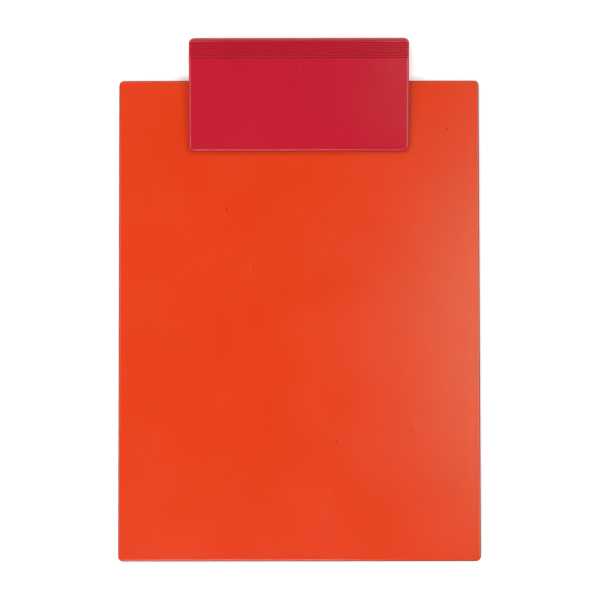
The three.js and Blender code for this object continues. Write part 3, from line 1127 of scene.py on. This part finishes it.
@dataclass(frozen=True)
class RivetRow:
    """The four rivets that hold the base plate behind the panel, with their washers."""

    inner: float
    outer: float
    y: float
    head_foot: float
    head_top: float
    roll_end: float
    sink_top: float
    head_radius: float = 3.2
    head_rim: float = 0.25
    shank_radius: float = 1.5
    roll_radius: float = 2.6
    roll_height: float = 0.8
    bore_radius: float = 0.9
    bore_depth: float = 1.8
    washer_radius: float = 3.6
    washer_thickness: float = 0.5
    hole_clearance: float = 0.2
    sink_radius: float = 4.4
    sink_ease: float = 0.25
    head_ease: float = 0.1
    washer_ease: float = 0.12
    seating: ClassVar[float] = 0.1

    @classmethod
    def from_frame(cls) -> "RivetRow":
        """Reads the row's place from the frame's rivets and washers.

        Returns:
            The row.
        """
        outer, inner = box_mm("rivet_4"), box_mm("rivet_3")
        middle = (outer[0] + outer[1]) / 2
        washer = box_mm("washer_4")
        return cls(
            inner=(inner[0].x + inner[1].x) / 2,
            outer=middle.x,
            y=middle.y,
            head_foot=box_mm("board_panel")[1].z + cls.seating,
            head_top=outer[1].z,
            roll_end=outer[0].z,
            sink_top=washer[1].z + cls.seating,
        )

    def across(self, mesh: Mesh, material: Material | None = None) -> Mesh:
        """One rivet's shape at all four places."""
        return FourAcross().make(mesh, material, Inner=self.inner * MM, Outer=self.outer * MM)

    def turn(self) -> Matrix:
        """Puts a lathe's axis at the row, on the middle line."""
        return Matrix.Translation((0, self.y, 0))

    def holes(self, low: float, high: float) -> Mesh:
        """The solid that drills the holes between two heights.

        Args:
            low: Where the holes start.
            high: Where they end.

        Returns:
            The closed mesh.
        """
        radius = self.shank_radius + self.hole_clearance
        drill = [(0, low), (radius, low), (radius, high), (0, high)]
        return self.across(turned(drill, self.turn()))

    def sinks(self) -> Mesh:
        """The solid that cuts the recesses that the washers lie in.

        Returns:
            The closed mesh.
        """
        ease = self.sink_ease
        mouth = self.sink_radius + ease
        profile = [
            (0, -1),
            (mouth, -1),
            (mouth, 0),
            *arc((mouth, ease), (ease, ease), 270, 180, 4)[1:],
            (self.sink_radius, self.sink_top),
            (0, self.sink_top),
        ]
        return self.across(turned(profile, self.turn()))

    def rivet_profile(self) -> list[Pair]:
        """A rivet's profile: a low dome in front, and a hollow tail rolled over behind.

        Returns:
            Its points, as (radius, height).
        """
        root = self.roll_end + self.roll_height
        middle = (self.roll_radius + self.bore_radius) / 2
        half = (self.roll_radius - self.bore_radius) / 2
        roll = arc((middle, root), (half, self.roll_height), -180, 0, 12)
        rim = self.head_foot + self.head_rim
        dome = arc((0, rim), (self.head_radius, self.head_top - rim), 0, 90, 12)
        bore = [(0, root + self.bore_depth), (self.bore_radius, root + self.bore_depth)]
        shank = [(self.shank_radius, root), (self.shank_radius, self.head_foot)]
        ease = self.head_ease
        foot = arc((self.head_radius - ease, self.head_foot + ease), (ease, ease), -90, 0, 3)
        return bore + roll + shank + foot + dome[:-1] + [(0, self.head_top)]

    def washer_profile(self) -> list[Pair]:
        """A washer's profile, closed on itself, with its stamped edge eased.

        Returns:
            Its points, as (radius, height).
        """
        hole = self.shank_radius + self.hole_clearance
        top = self.sink_top - self.seating
        low = top - self.washer_thickness
        ease = self.washer_ease
        outer = arc((self.washer_radius - ease, low + ease), (ease, ease), -90, 0, 3)
        return [(hole, top), (hole, low), *outer, (self.washer_radius, top), (hole, top)]

    def build(self, material: Material) -> None:
        """Makes the rivets and the washers.

        Args:
            material: Their finish.
        """
        names = [str(number) for number in range(1, 5)]
        rivets = Piece("clip_rivets", Body.BOARD, Slot.RIVET, tuple(f"rivet_{n}" for n in names))
        rivets.place(self.across(turned(self.rivet_profile(), self.turn()), material), material)
        washers = Piece("rivet_washers", Body.BOARD, Slot.RIVET, tuple(f"washer_{n}" for n in names))
        washers.place(self.across(turned(self.washer_profile(), self.turn()), material), material)


@dataclass(frozen=True)
class BoardPanel:
    """The thin moulded panel that carries the sheets, with its edges rounded over."""

    rivets: RivetRow
    corner: float = 3.2
    edge: float = 1.2

    def build(self, material: Material) -> None:
        """Makes the panel.

        Args:
            material: Its finish.
        """
        low, high = box_mm("board_panel")
        outline = Outline.rounded(low.xy, high.xy, (self.corner,) * 4, steps=14)
        edge = plain_round(self.edge)
        slab = pillow(outline, low.z, high.z, edge, edge, steps=8)
        mesh = carve(slab, [(Joining.CUT, self.rivets.holes(low.z - 1, high.z + 1))])
        Piece("panel", Body.BOARD, Slot.PANEL, ("board_panel",)).place(mesh, material)


@dataclass(frozen=True)
class TailRibs:
    """The low walls inside a tail: four stiffening ribs, and two guides beside each spring's leg."""

    inner: float = 12.0
    outer: float = 57.5
    width: float = 1.4
    height: float = 2.0
    guide_width: float = 1.2
    guide_height: float = 1.2
    guide_reach: float = 0.9
    edge: float = 0.3
    sunk: float = 1.0

    def solids(self, leg: float, start: float, end: float, root: float, way: int) -> list[Mesh]:
        """The ribs and the guides.

        Args:
            leg: The distance of the spring's leg from the middle.
            start: Where the ribs start along Y.
            end: Where they end, inside the tail's end wall.
            root: The height that they stand on.
            way: 1 where they stand up and -1 where they hang down.

        Returns:
            One mesh for the ribs and one for the guides.
        """
        guide = self.guide_reach + self.guide_width / 2
        kinds = (
            (self.width, self.height, self.inner, self.outer),
            (self.guide_width, self.guide_height, leg - guide, leg + guide),
        )
        made = []
        for width, height, inner, outer in kinds:
            level = sorted((root - way * self.sunk, root + way * height))
            wall = block((-width / 2, start, level[0]), (width / 2, end, level[1]), self.edge)
            made.append(FourAcross().make(wall, None, Inner=inner * MM, Outer=outer * MM))
        return made


@dataclass(frozen=True)
class ClipPlan:
    """Sizes that the clip's two halves share."""

    half_width: float
    corner: float = 3.5
    edge: float = 1.2
    tail_edge: float = 3.2
    wall: float = 2.4
    ear_radius: float = 3.5
    ear_thickness: float = 2.4
    side_gap: float = 0.4
    pin_hole: float = 1.58
    spring_x: float = 34.0
    coil_half: float = 2.925
    wire_radius: float = 0.6
    leg_end: float = 2.6
    rib_gap: float = 1.6
    spring_gap: float = 0.1
    inner_round: float = 0.7
    inner_corner: float = 1.1
    hidden_round: float = 0.1
    lip_round: float = 0.3
    ear_ease: float = 0.25
    ear_root: float = 0.4
    overlap: float = 0.3

    @property
    def side_inner(self) -> float:
        """How far the side walls' inner faces are from the middle."""
        return self.half_width - self.wall

    @property
    def ear_inset(self) -> float:
        """How far the ears beside a coil are from its middle."""
        return self.coil_half + self.wire_radius + self.side_gap

    def outer_edge(self, outward: Vector) -> float:
        """The round along the outer face, which is larger across the tail's end."""
        turn = max(0.0, outward.y) ** 2
        return self.edge + (self.tail_edge - self.edge) * turn

    def ear(self, inner: float, radius: float, centre: Pair, root: float, width: float) -> list[Mesh]:
        """An ear and its mirror image, each a pillow on edge.

        Args:
            inner: The distance of its inner face from the middle.
            radius: Its radius about the pin.
            centre: The pin's Y and Z.
            root: The height that it grows from.
            width: Its thickness.

        Returns:
            The two meshes.
        """
        y, z = centre
        small = self.ear_root
        if root < z:
            low, high, radii = root, z + radius, (small, small, radius, radius)
        else:
            low, high, radii = z - radius, root, (radius, radius, small, small)
        outline = Outline.rounded((y - radius, low), (y + radius, high), radii, steps=14)
        ease = plain_round(self.ear_ease)
        spans = ((inner, inner + width), (-inner - width, -inner))
        return [pillow(outline, a, b, ease, ease, Plane.SIDEWAYS, steps=3) for a, b in spans]

    def pocket(self, along: Pair, levels: Pair, floor: int) -> Mesh:
        """The solid that hollows out a half, rounded where its floor meets its walls.

        Args:
            along: Where it starts and ends along Y.
            levels: Its lower and upper level.
            floor: Which of the two levels is the hollow's floor.

        Returns:
            The closed mesh.
        """
        low, high = ((-self.side_inner, along[0]), (self.side_inner, along[1]))
        outline = Outline.rounded(low, high, (self.inner_corner,) * 4, steps=8)
        rounds = [plain_round(self.hidden_round)] * 2
        rounds[floor] = plain_round(self.inner_round)
        return pillow(outline, *levels, *rounds, steps=5)

    def pin_bore(self, radius: float, x0: float, x1: float, centre: Pair) -> Mesh:
        """The solid that drills round the pin's axis from x0 to x1.

        Args:
            radius: The bore's radius.
            x0: Where it starts.
            x1: Where it ends.
            centre: The pin's Y and Z.

        Returns:
            The closed mesh.
        """
        outline = Outline.circle(centre, radius)
        sharp = plain_round(MM)
        return pillow(outline, x0, x1, sharp, sharp, Plane.SIDEWAYS, steps=1)


@dataclass(frozen=True)
class ClipBase:
    """The clip's base plate: it lies behind the panel, locates its top edge and carries the hinge ears."""

    plan: ClipPlan
    hinge: Hinge
    rivets: RivetRow
    grip: GripBand
    ribs: TailRibs = field(default_factory=TailRibs)
    plate: float = 3.0
    tail_floor: float = 2.4
    stop_wall: float = 1.8
    seat_gap: float = 0.1
    seat_edge: float = 0.2

    def build(self, material: Material) -> None:
        """Makes the base plate.

        Args:
            material: Its finish.
        """
        plan = self.plan
        pin = self.hinge.centre.yz
        low, high = box_mm("clip_base")
        panel_low, panel_high = box_mm("board_panel")
        outline = Outline.rounded(low.xy, high.xy, (plan.corner,) * 4, steps=12)
        body = pillow(outline, low.z, panel_high.z, plan.outer_edge, plain_round(plan.lip_round), steps=6)
        step = panel_high.y + self.seat_gap
        pocket_start = step + self.stop_wall
        pocket_end = high.y - plan.wall
        past = plan.half_width + PAST
        seat_top = (past, step, panel_high.z + PAST)
        seat = block((-past, low.y - PAST, self.plate), seat_top, self.seat_edge)
        levels = (self.tail_floor, panel_high.z + PAST)
        pocket = plan.pocket((pocket_start, pocket_end), levels, floor=0)
        steps = [(Joining.CUT, seat), (Joining.CUT, pocket)]
        for inner in (
            plan.spring_x - plan.ear_inset - plan.ear_thickness,
            plan.spring_x + plan.ear_inset,
            plan.side_inner - plan.side_gap - plan.ear_thickness,
        ):
            pair = plan.ear(inner, plan.ear_radius, pin, self.tail_floor / 2, plan.ear_thickness)
            steps.extend((Joining.ADD, ear) for ear in pair)
        start = self.hinge.centre.y + plan.ear_radius + plan.rib_gap
        leg = plan.spring_x - plan.coil_half
        ribs = self.ribs.solids(leg, start, pocket_end + plan.overlap, self.tail_floor, 1)
        steps.extend((Joining.ADD, rib) for rib in ribs)
        steps.append((Joining.CUT, plan.pin_bore(plan.pin_hole, -past, past, pin)))
        steps.append((Joining.CUT, self.rivets.holes(-1, panel_low.z + 1)))
        steps.append((Joining.CUT, self.rivets.sinks()))
        steps.append((Joining.CUT, self.grip.cutter(high.y, low.z, -1)))
        mesh = carve(body, steps)
        Piece("base_plate", Body.BOARD, Slot.CLIP, ("clip_base",)).place(mesh, material)


@dataclass(frozen=True)
class ClipLever:
    """The clip's front half, made in its own frame: its origin is on the pin and Z is out of its face."""

    plan: ClipPlan
    hinge: Hinge
    grip: GripBand
    ribs: TailRibs = field(default_factory=TailRibs)
    thickness: float = 2.4
    lobe_radius: float = 4.2
    cap_radius: float = 2.6
    cap_thickness: float = 0.9
    cap_clearance: float = 0.1
    pad_wall: float = 1.1
    pad_width: float = 1.9
    pad_flare: float = 0.35
    pad_seat: float = 1.6
    pad_clearance: float = 0.1
    pad_inset: float = 8.0
    pad_ease: float = 0.12

    @property
    def pad_half(self) -> float:
        """Half of the grip strip's length."""
        return self.plan.half_width - self.pad_inset

    def pad_section(self, clearance: float, foot: Callable[[float], float], seat: float) -> list[Vector]:
        """The dovetail that holds the grip strip.

        Args:
            clearance: How much wider than the strip it is, on every side.
            foot: The height of its foot at a place along Y.
            seat: The height of the lip's edge.

        Returns:
            Its corners, as (0, y, z) points.
        """
        jaw = self.hinge.lever_box("clip_lever")[0].y
        left = jaw + self.pad_wall - clearance
        right = jaw + self.pad_wall + self.pad_width + clearance
        top = seat + self.pad_seat + clearance
        flare = self.pad_flare
        corners = ((left, foot(left)), (right, foot(right)), (right, seat), (right + flare, top))
        corners += ((left - flare, top), (left, seat))
        return [Vector((0, y, z)) for y, z in corners]

    def build(self, clip: Material, pad: Material) -> None:
        """Makes the lever's shell and the grip strip in its jaw.

        Args:
            clip: The shell's finish.
            pad: The grip strip's finish.
        """
        plan = self.plan
        low, high = self.hinge.lever_box("clip_lever")
        strip_low, strip_high = self.hinge.lever_box("jaw_pad")
        face = high.z
        underside = face - self.thickness
        foot = strip_high.z - self.pad_seat
        outline = Outline.rounded(low.xy, high.xy, (plan.corner,) * 4, steps=12)
        body = pillow(outline, foot, face, plain_round(plan.lip_round), plan.outer_edge, steps=8)
        jaw_wall = self.pad_width + 2 * self.pad_wall
        pocket_end = high.y - plan.wall
        hollow = plan.pocket((low.y + jaw_wall, pocket_end), (foot - PAST, underside), floor=1)
        steps = [(Joining.CUT, hollow)]
        root = underside + self.thickness / 2
        pin = (0.0, 0.0)
        lobes = plan.ear(plan.side_inner, self.lobe_radius, pin, root, plan.wall)
        ears = plan.ear(
            plan.spring_x + plan.ear_inset + plan.ear_thickness + plan.side_gap,
            plan.ear_radius,
            pin,
            root,
            plan.ear_thickness,
        )
        start = plan.ear_radius + plan.rib_gap
        leg = plan.spring_x + plan.coil_half
        ribs = self.ribs.solids(leg, start, pocket_end + plan.overlap, underside, -1)
        steps.extend((Joining.ADD, solid) for solid in (*lobes, *ears, *ribs))
        past = plan.half_width + PAST
        seat = plan.half_width - self.cap_thickness - self.cap_clearance
        steps.append((Joining.CUT, plan.pin_bore(plan.pin_hole, -past, past, pin)))
        for x0, x1 in ((seat, past), (-past, -seat)):
            steps.append((Joining.CUT, plan.pin_bore(self.cap_radius + self.cap_clearance, x0, x1, pin)))
        slot = self.pad_section(self.pad_clearance, lambda y: foot - PAST, foot)
        reach = self.pad_half + self.pad_clearance
        steps.append((Joining.CUT, skin([[p + Vector((x, 0, 0)) for p in slot] for x in (-reach, reach)])))
        steps.append((Joining.CUT, self.grip.cutter(high.y, face, 1)))
        mesh = merged([carve(body, steps)], self.hinge.to_frame)
        Piece("lever_shell", Body.LEVER, Slot.CLIP, ("clip_lever",)).place(mesh, clip)
        self.build_strip(strip_low, strip_high, foot, pad)

    def build_strip(self, low: Vector, high: Vector, seat: float, material: Material) -> None:
        """Makes the grip strip, with its edges eased.

        Args:
            low: The frame's strip's lowest corner, in the lever's frame.
            high: Its highest corner; not used.
            seat: The height of the lip's edge.
            material: The strip's finish.
        """
        slope = math.tan(self.hinge.lean)
        toe = low.z + slope * (low.y + self.pad_width)
        section = self.pad_section(0.0, lambda y: toe - slope * y, seat)
        half = self.pad_half
        rings = [[point + Vector((x, 0, 0)) for point in section] for x in (-half, half)]
        obj = scratch_object("strip", skin(rings))
        bevel = obj.modifiers.new("ease", "BEVEL")
        bevel.width = self.pad_ease * MM
        bevel.segments = 3
        bevel.limit_method = "ANGLE"
        bpy.context.view_layer.update()
        mesh = merged([evaluated(obj)], self.hinge.to_frame)
        Piece("jaw_grip_strip", Body.LEVER, Slot.PAD, ("jaw_pad",)).place(mesh, material)


@dataclass(frozen=True)
class HingePin:
    """The steel pin and the plastic caps over its ends."""

    hinge: Hinge
    chamfer: float = 0.35
    cap_ease: float = 0.25
    cap_dish: float = 0.18
    cap_rim_angles: tuple[float, ...] = (1.57, 1.05, 0.52, 0.0)
    dish_shares: Pair = (0.7, 0.6)

    def along_x(self) -> Matrix:
        """Lays a lathe's axis along X at the pin."""
        return Matrix.Translation(self.hinge.centre) @ Matrix.Rotation(math.pi / 2, 4, "Y")

    def build(self, steel: Material, plastic: Material) -> None:
        """Makes the pin and its two caps.

        Args:
            steel: The pin's finish.
            plastic: The caps' finish.
        """
        low, high = box_mm("hinge_pin")
        radius = (high.z - low.z) / 2
        ease = self.chamfer
        inner = radius - ease
        ends = [(0, low.x), (inner, low.x), *arc((inner, low.x + ease), (ease, ease), -90, 0, 4)]
        ends += [*arc((inner, high.x - ease), (ease, ease), 0, 90, 4), (0, high.x)]
        mesh = turned(ends, self.along_x(), steps=48)
        Piece("pin_rod", Body.LEVER, Slot.PIN, ("hinge_pin",)).place(mesh, steel)
        for side, node in ((-1, "pin_cap_left"), (1, "pin_cap_right")):
            self.build_cap(side, node, plastic)

    def build_cap(self, side: int, node: str, material: Material) -> None:
        """Makes one cap: a push-in button with an eased rim and a shallow dish.

        Args:
            side: -1 for the left cap and 1 for the right one.
            node: The frame's node.
            material: Its finish.
        """
        low, high = box_mm(node)
        inner, outer = (low.x, high.x) if side > 0 else (high.x, low.x)
        radius = (high.z - low.z) / 2
        ease = self.cap_ease
        turns = [(math.sin(angle), math.cos(angle)) for angle in self.cap_rim_angles]
        rim = [(radius - ease + ease * sine, outer - side * ease * (1 - cosine)) for sine, cosine in turns]
        brim, floor = self.dish_shares
        bottom = outer - side * self.cap_dish
        dish = [(radius * brim, outer), (radius * floor, bottom), (0, bottom)]
        profile = [(0, inner), (radius - ease / 2, inner), (radius, inner + side * ease / 2), *rim, *dish]
        mesh = turned(profile, self.along_x())
        name = "cap_left" if side < 0 else "cap_right"
        Piece(name, Body.LEVER, Slot.CLIP, (node,)).place(mesh, material)


@dataclass(frozen=True)
class TorsionSprings:
    """The two wound springs on the pin. Each bears on the base's tail and on the lever's."""

    plan: ClipPlan
    hinge: Hinge
    tail_floor: float = 2.4
    coil_radius: float = 2.6
    turns: int = 4
    points: int = 460
    sides: int = 16

    def leg(self, end: Vector, side: int) -> Pair:
        """Where a leg leaves the coil.

        Args:
            end: The leg's end, from the pin, as (y, z).
            side: 1 for the upper leg and -1 for the lower leg.

        Returns:
            The leg's length, and the angle at which it leaves.
        """
        length = math.sqrt(end.length_squared - self.coil_radius**2)
        heading = math.atan2(end.y, end.x) - side * math.atan2(self.coil_radius, length)
        return length, heading + side * math.pi / 2

    def build(self, material: Material) -> None:
        """Makes both springs.

        Args:
            material: The wire's finish.
        """
        plan, hinge = self.plan, self.hinge
        tail = box_mm("clip_base")[1].y - hinge.centre.y - plan.wall - plan.leg_end
        bearing = plan.wire_radius + plan.spring_gap
        low_end = Vector((tail, self.tail_floor + bearing - hinge.centre.z))
        lever_high = hinge.lever_box("clip_lever")[1]
        reach = lever_high.y - plan.wall - plan.leg_end
        rise = lever_high.z - plan.wall - bearing
        turn = Matrix.Rotation(hinge.lean, 2)
        high_end = turn @ Vector((reach, rise))
        first, leaves = self.leg(low_end, -1)
        last, returns = self.leg(high_end, 1)
        wrap = (leaves - returns) % (2 * math.pi) + self.turns * 2 * math.pi
        wire = CoiledWire()
        for side, node in ((-1, "spring_left"), (1, "spring_right")):
            near = side * (plan.spring_x - plan.coil_half)
            far = side * (plan.spring_x + plan.coil_half)
            mesh = wire.make(
                None,
                material,
                Points=self.points,
                Sides=self.sides,
                Wire_Radius=plan.wire_radius * MM,
                Coil_Radius=self.coil_radius * MM,
                First_Leg=first * MM,
                Last_Leg=last * MM,
                Leaves=leaves,
                Wrap=wrap,
                From_X=near * MM,
                To_X=far * MM,
                Pin=hinge.centre * MM,
            )
            name = "wire_spring_left" if side < 0 else "wire_spring_right"
            piece = Piece(name, Body.BOARD, Slot.SPRING, (node,), sharp_degrees=50.0)
            piece.place_between(mesh, material)


# -------- studio


@dataclass(frozen=True)
class Softbox:
    """A soft round light that points at the object, hidden from the camera."""

    name: str
    place: Triple
    power: float
    size: Pair = (0.45, 0.45)
    colour: Colour = (1.0, 1.0, 1.0)

    def build(self) -> None:
        """Hangs the light and points it."""
        light = bpy.data.lights.new(self.name, "AREA")
        light.shape = "ELLIPSE"
        light.size, light.size_y = self.size
        light.energy = self.power
        light.color = self.colour
        obj = bpy.data.objects.new(self.name, light)
        obj.location = self.place
        outward = Vector(self.place).normalized()
        right = Vector((0, 1, 0)).cross(outward).normalized()
        obj.rotation_euler = Matrix((right, outward.cross(right), outward)).transposed().to_euler()
        obj.visible_camera = False
        bpy.context.scene.collection.objects.link(obj)


@dataclass(frozen=True)
class Studio:
    """A pale floor, soft lights and a camera that looks almost straight down."""

    aim: Triple = (0.0005, -0.0001, 0.0)
    distance: float = 1.5
    lens: float = 137.84
    tilt_degrees: float = 2.8
    roll_degrees: float = -0.07
    floor_half: float = 6.0
    floor_gap: float = 0.0002
    floor_colour: Colour = (0.97, 0.97, 0.97)
    floor_glow: float = 0.18
    floor_roughness: float = 0.9
    view_depth: float = 50.0
    room_low: float = 0.05
    room_high: float = 0.6
    room_overhead: float = 0.08
    room_ends: float = 0.25
    room_sides: float = 0.95
    lights: tuple[Softbox, ...] = (
        Softbox("key_left", (-0.48, 0.0, 0.78), 2.1),
        Softbox("key_front", (-0.12, -0.57, 1.0), 6.3),
        Softbox("fill_back_left", (-0.33, 0.57, 1.0), 2.3),
        Softbox("fill_back_right", (0.33, 0.57, 1.0), 2.8),
        Softbox("fill_right", (1.8, 0.0, 2.9), 27.0, (1.3, 1.3)),
        Softbox("front_glow", (-0.5, -0.74, 4.0), 0.4, (0.9, 0.5)),
        Softbox("sheen", (0.84, 0.11, 4.0), 12.0, (1.02, 1.16), (0.15, 0.92, 0.64)),
    )

    def build(self) -> None:
        """Makes the camera, the lights and the floor."""
        scene = bpy.context.scene
        scene.view_settings.view_transform = "Standard"
        camera = bpy.data.objects.new("camera", bpy.data.cameras.new("camera"))
        camera.data.lens = self.lens
        camera.data.clip_end = self.view_depth
        turn = Matrix.Rotation(math.radians(self.roll_degrees), 4, "Z")
        turn = turn @ Matrix.Rotation(math.radians(self.tilt_degrees), 4, "X")
        back = Matrix.Translation((0, 0, self.distance))
        camera.matrix_world = Matrix.Translation(self.aim) @ turn @ back
        scene.collection.objects.link(camera)
        scene.camera = camera
        for light in self.lights:
            light.build()
        self.build_world(scene)
        self.build_floor()

    def build_world(self, scene: bpy.types.Scene) -> None:
        """Fills the room with light that comes in low, most of it from the two sides.

        Args:
            scene: The scene that it lights.
        """
        world = bpy.data.worlds.new("room")
        world.use_nodes = True
        sheet = Sheet(world.node_tree)
        direction = sheet.node("ShaderNodeTexCoord").outputs["Generated"]
        parts = sheet.node("ShaderNodeSeparateXYZ", {"Vector": direction}).outputs
        low = sheet.band(parts["Z"], self.room_low, self.room_high, to=(1.0, 0.0))
        sideways = sheet.math("POWER", sheet.math("ABSOLUTE", parts["X"]), 2.0)
        level = sheet.math("MULTIPLY_ADD", sideways, self.room_sides, self.room_ends)
        strength = sheet.math("MULTIPLY_ADD", low, level, self.room_overhead)
        feeds = {"Color": (1.0, 1.0, 1.0, 1.0), "Strength": strength}
        background = sheet.node("ShaderNodeBackground", feeds)
        sheet.node("ShaderNodeOutputWorld", {"Surface": background.outputs[0]})
        scene.world = world

    def build_floor(self) -> None:
        """Lays the pale floor just under the object."""
        half = self.floor_half
        bm = bmesh.new()
        corners = [(-half, -half), (half, -half), (half, half), (-half, half)]
        bm.faces.new([bm.verts.new((x, y, -self.floor_gap)) for x, y in corners])
        mesh = freed(bm)
        material = bpy.data.materials.new("pale_floor")
        material.use_nodes = True
        sheet = Sheet(material.node_tree)
        colour = (*self.floor_colour, 1.0)
        feeds = {"Base Color": colour, "Roughness": self.floor_roughness, "Specular IOR Level": 0.0}
        feeds |= {"Emission Color": colour, "Emission Strength": self.floor_glow}
        shader = sheet.node("ShaderNodeBsdfPrincipled", feeds)
        sheet.node("ShaderNodeOutputMaterial", {"Surface": shader.outputs[0]})
        mesh.materials.append(material)
        scratch_object("floor", mesh)


def main() -> None:
    """Builds the clipboard's sub-assemblies in order, and the studio round them."""
    logging.basicConfig(level=logging.INFO, format="%(name)s: %(message)s")
    clip = CLIP_FINISH.material()
    hinge = Hinge.from_frame()
    rivets = RivetRow.from_frame()
    plan = ClipPlan(half_width=box_mm("clip_base")[1].x)
    grip = GripBand()
    Studio().build()
    BoardPanel(rivets).build(PANEL_FINISH.material())
    ClipBase(plan, hinge, rivets, grip).build(clip)
    ClipLever(plan, hinge, grip).build(clip, PAD_FINISH.material())
    HingePin(hinge).build(PIN_FINISH.material(), clip)
    TorsionSprings(plan, hinge).build(SPRING_FINISH.material())
    rivets.build(RIVET_FINISH.material())


if __name__ == "__main__":
    main()
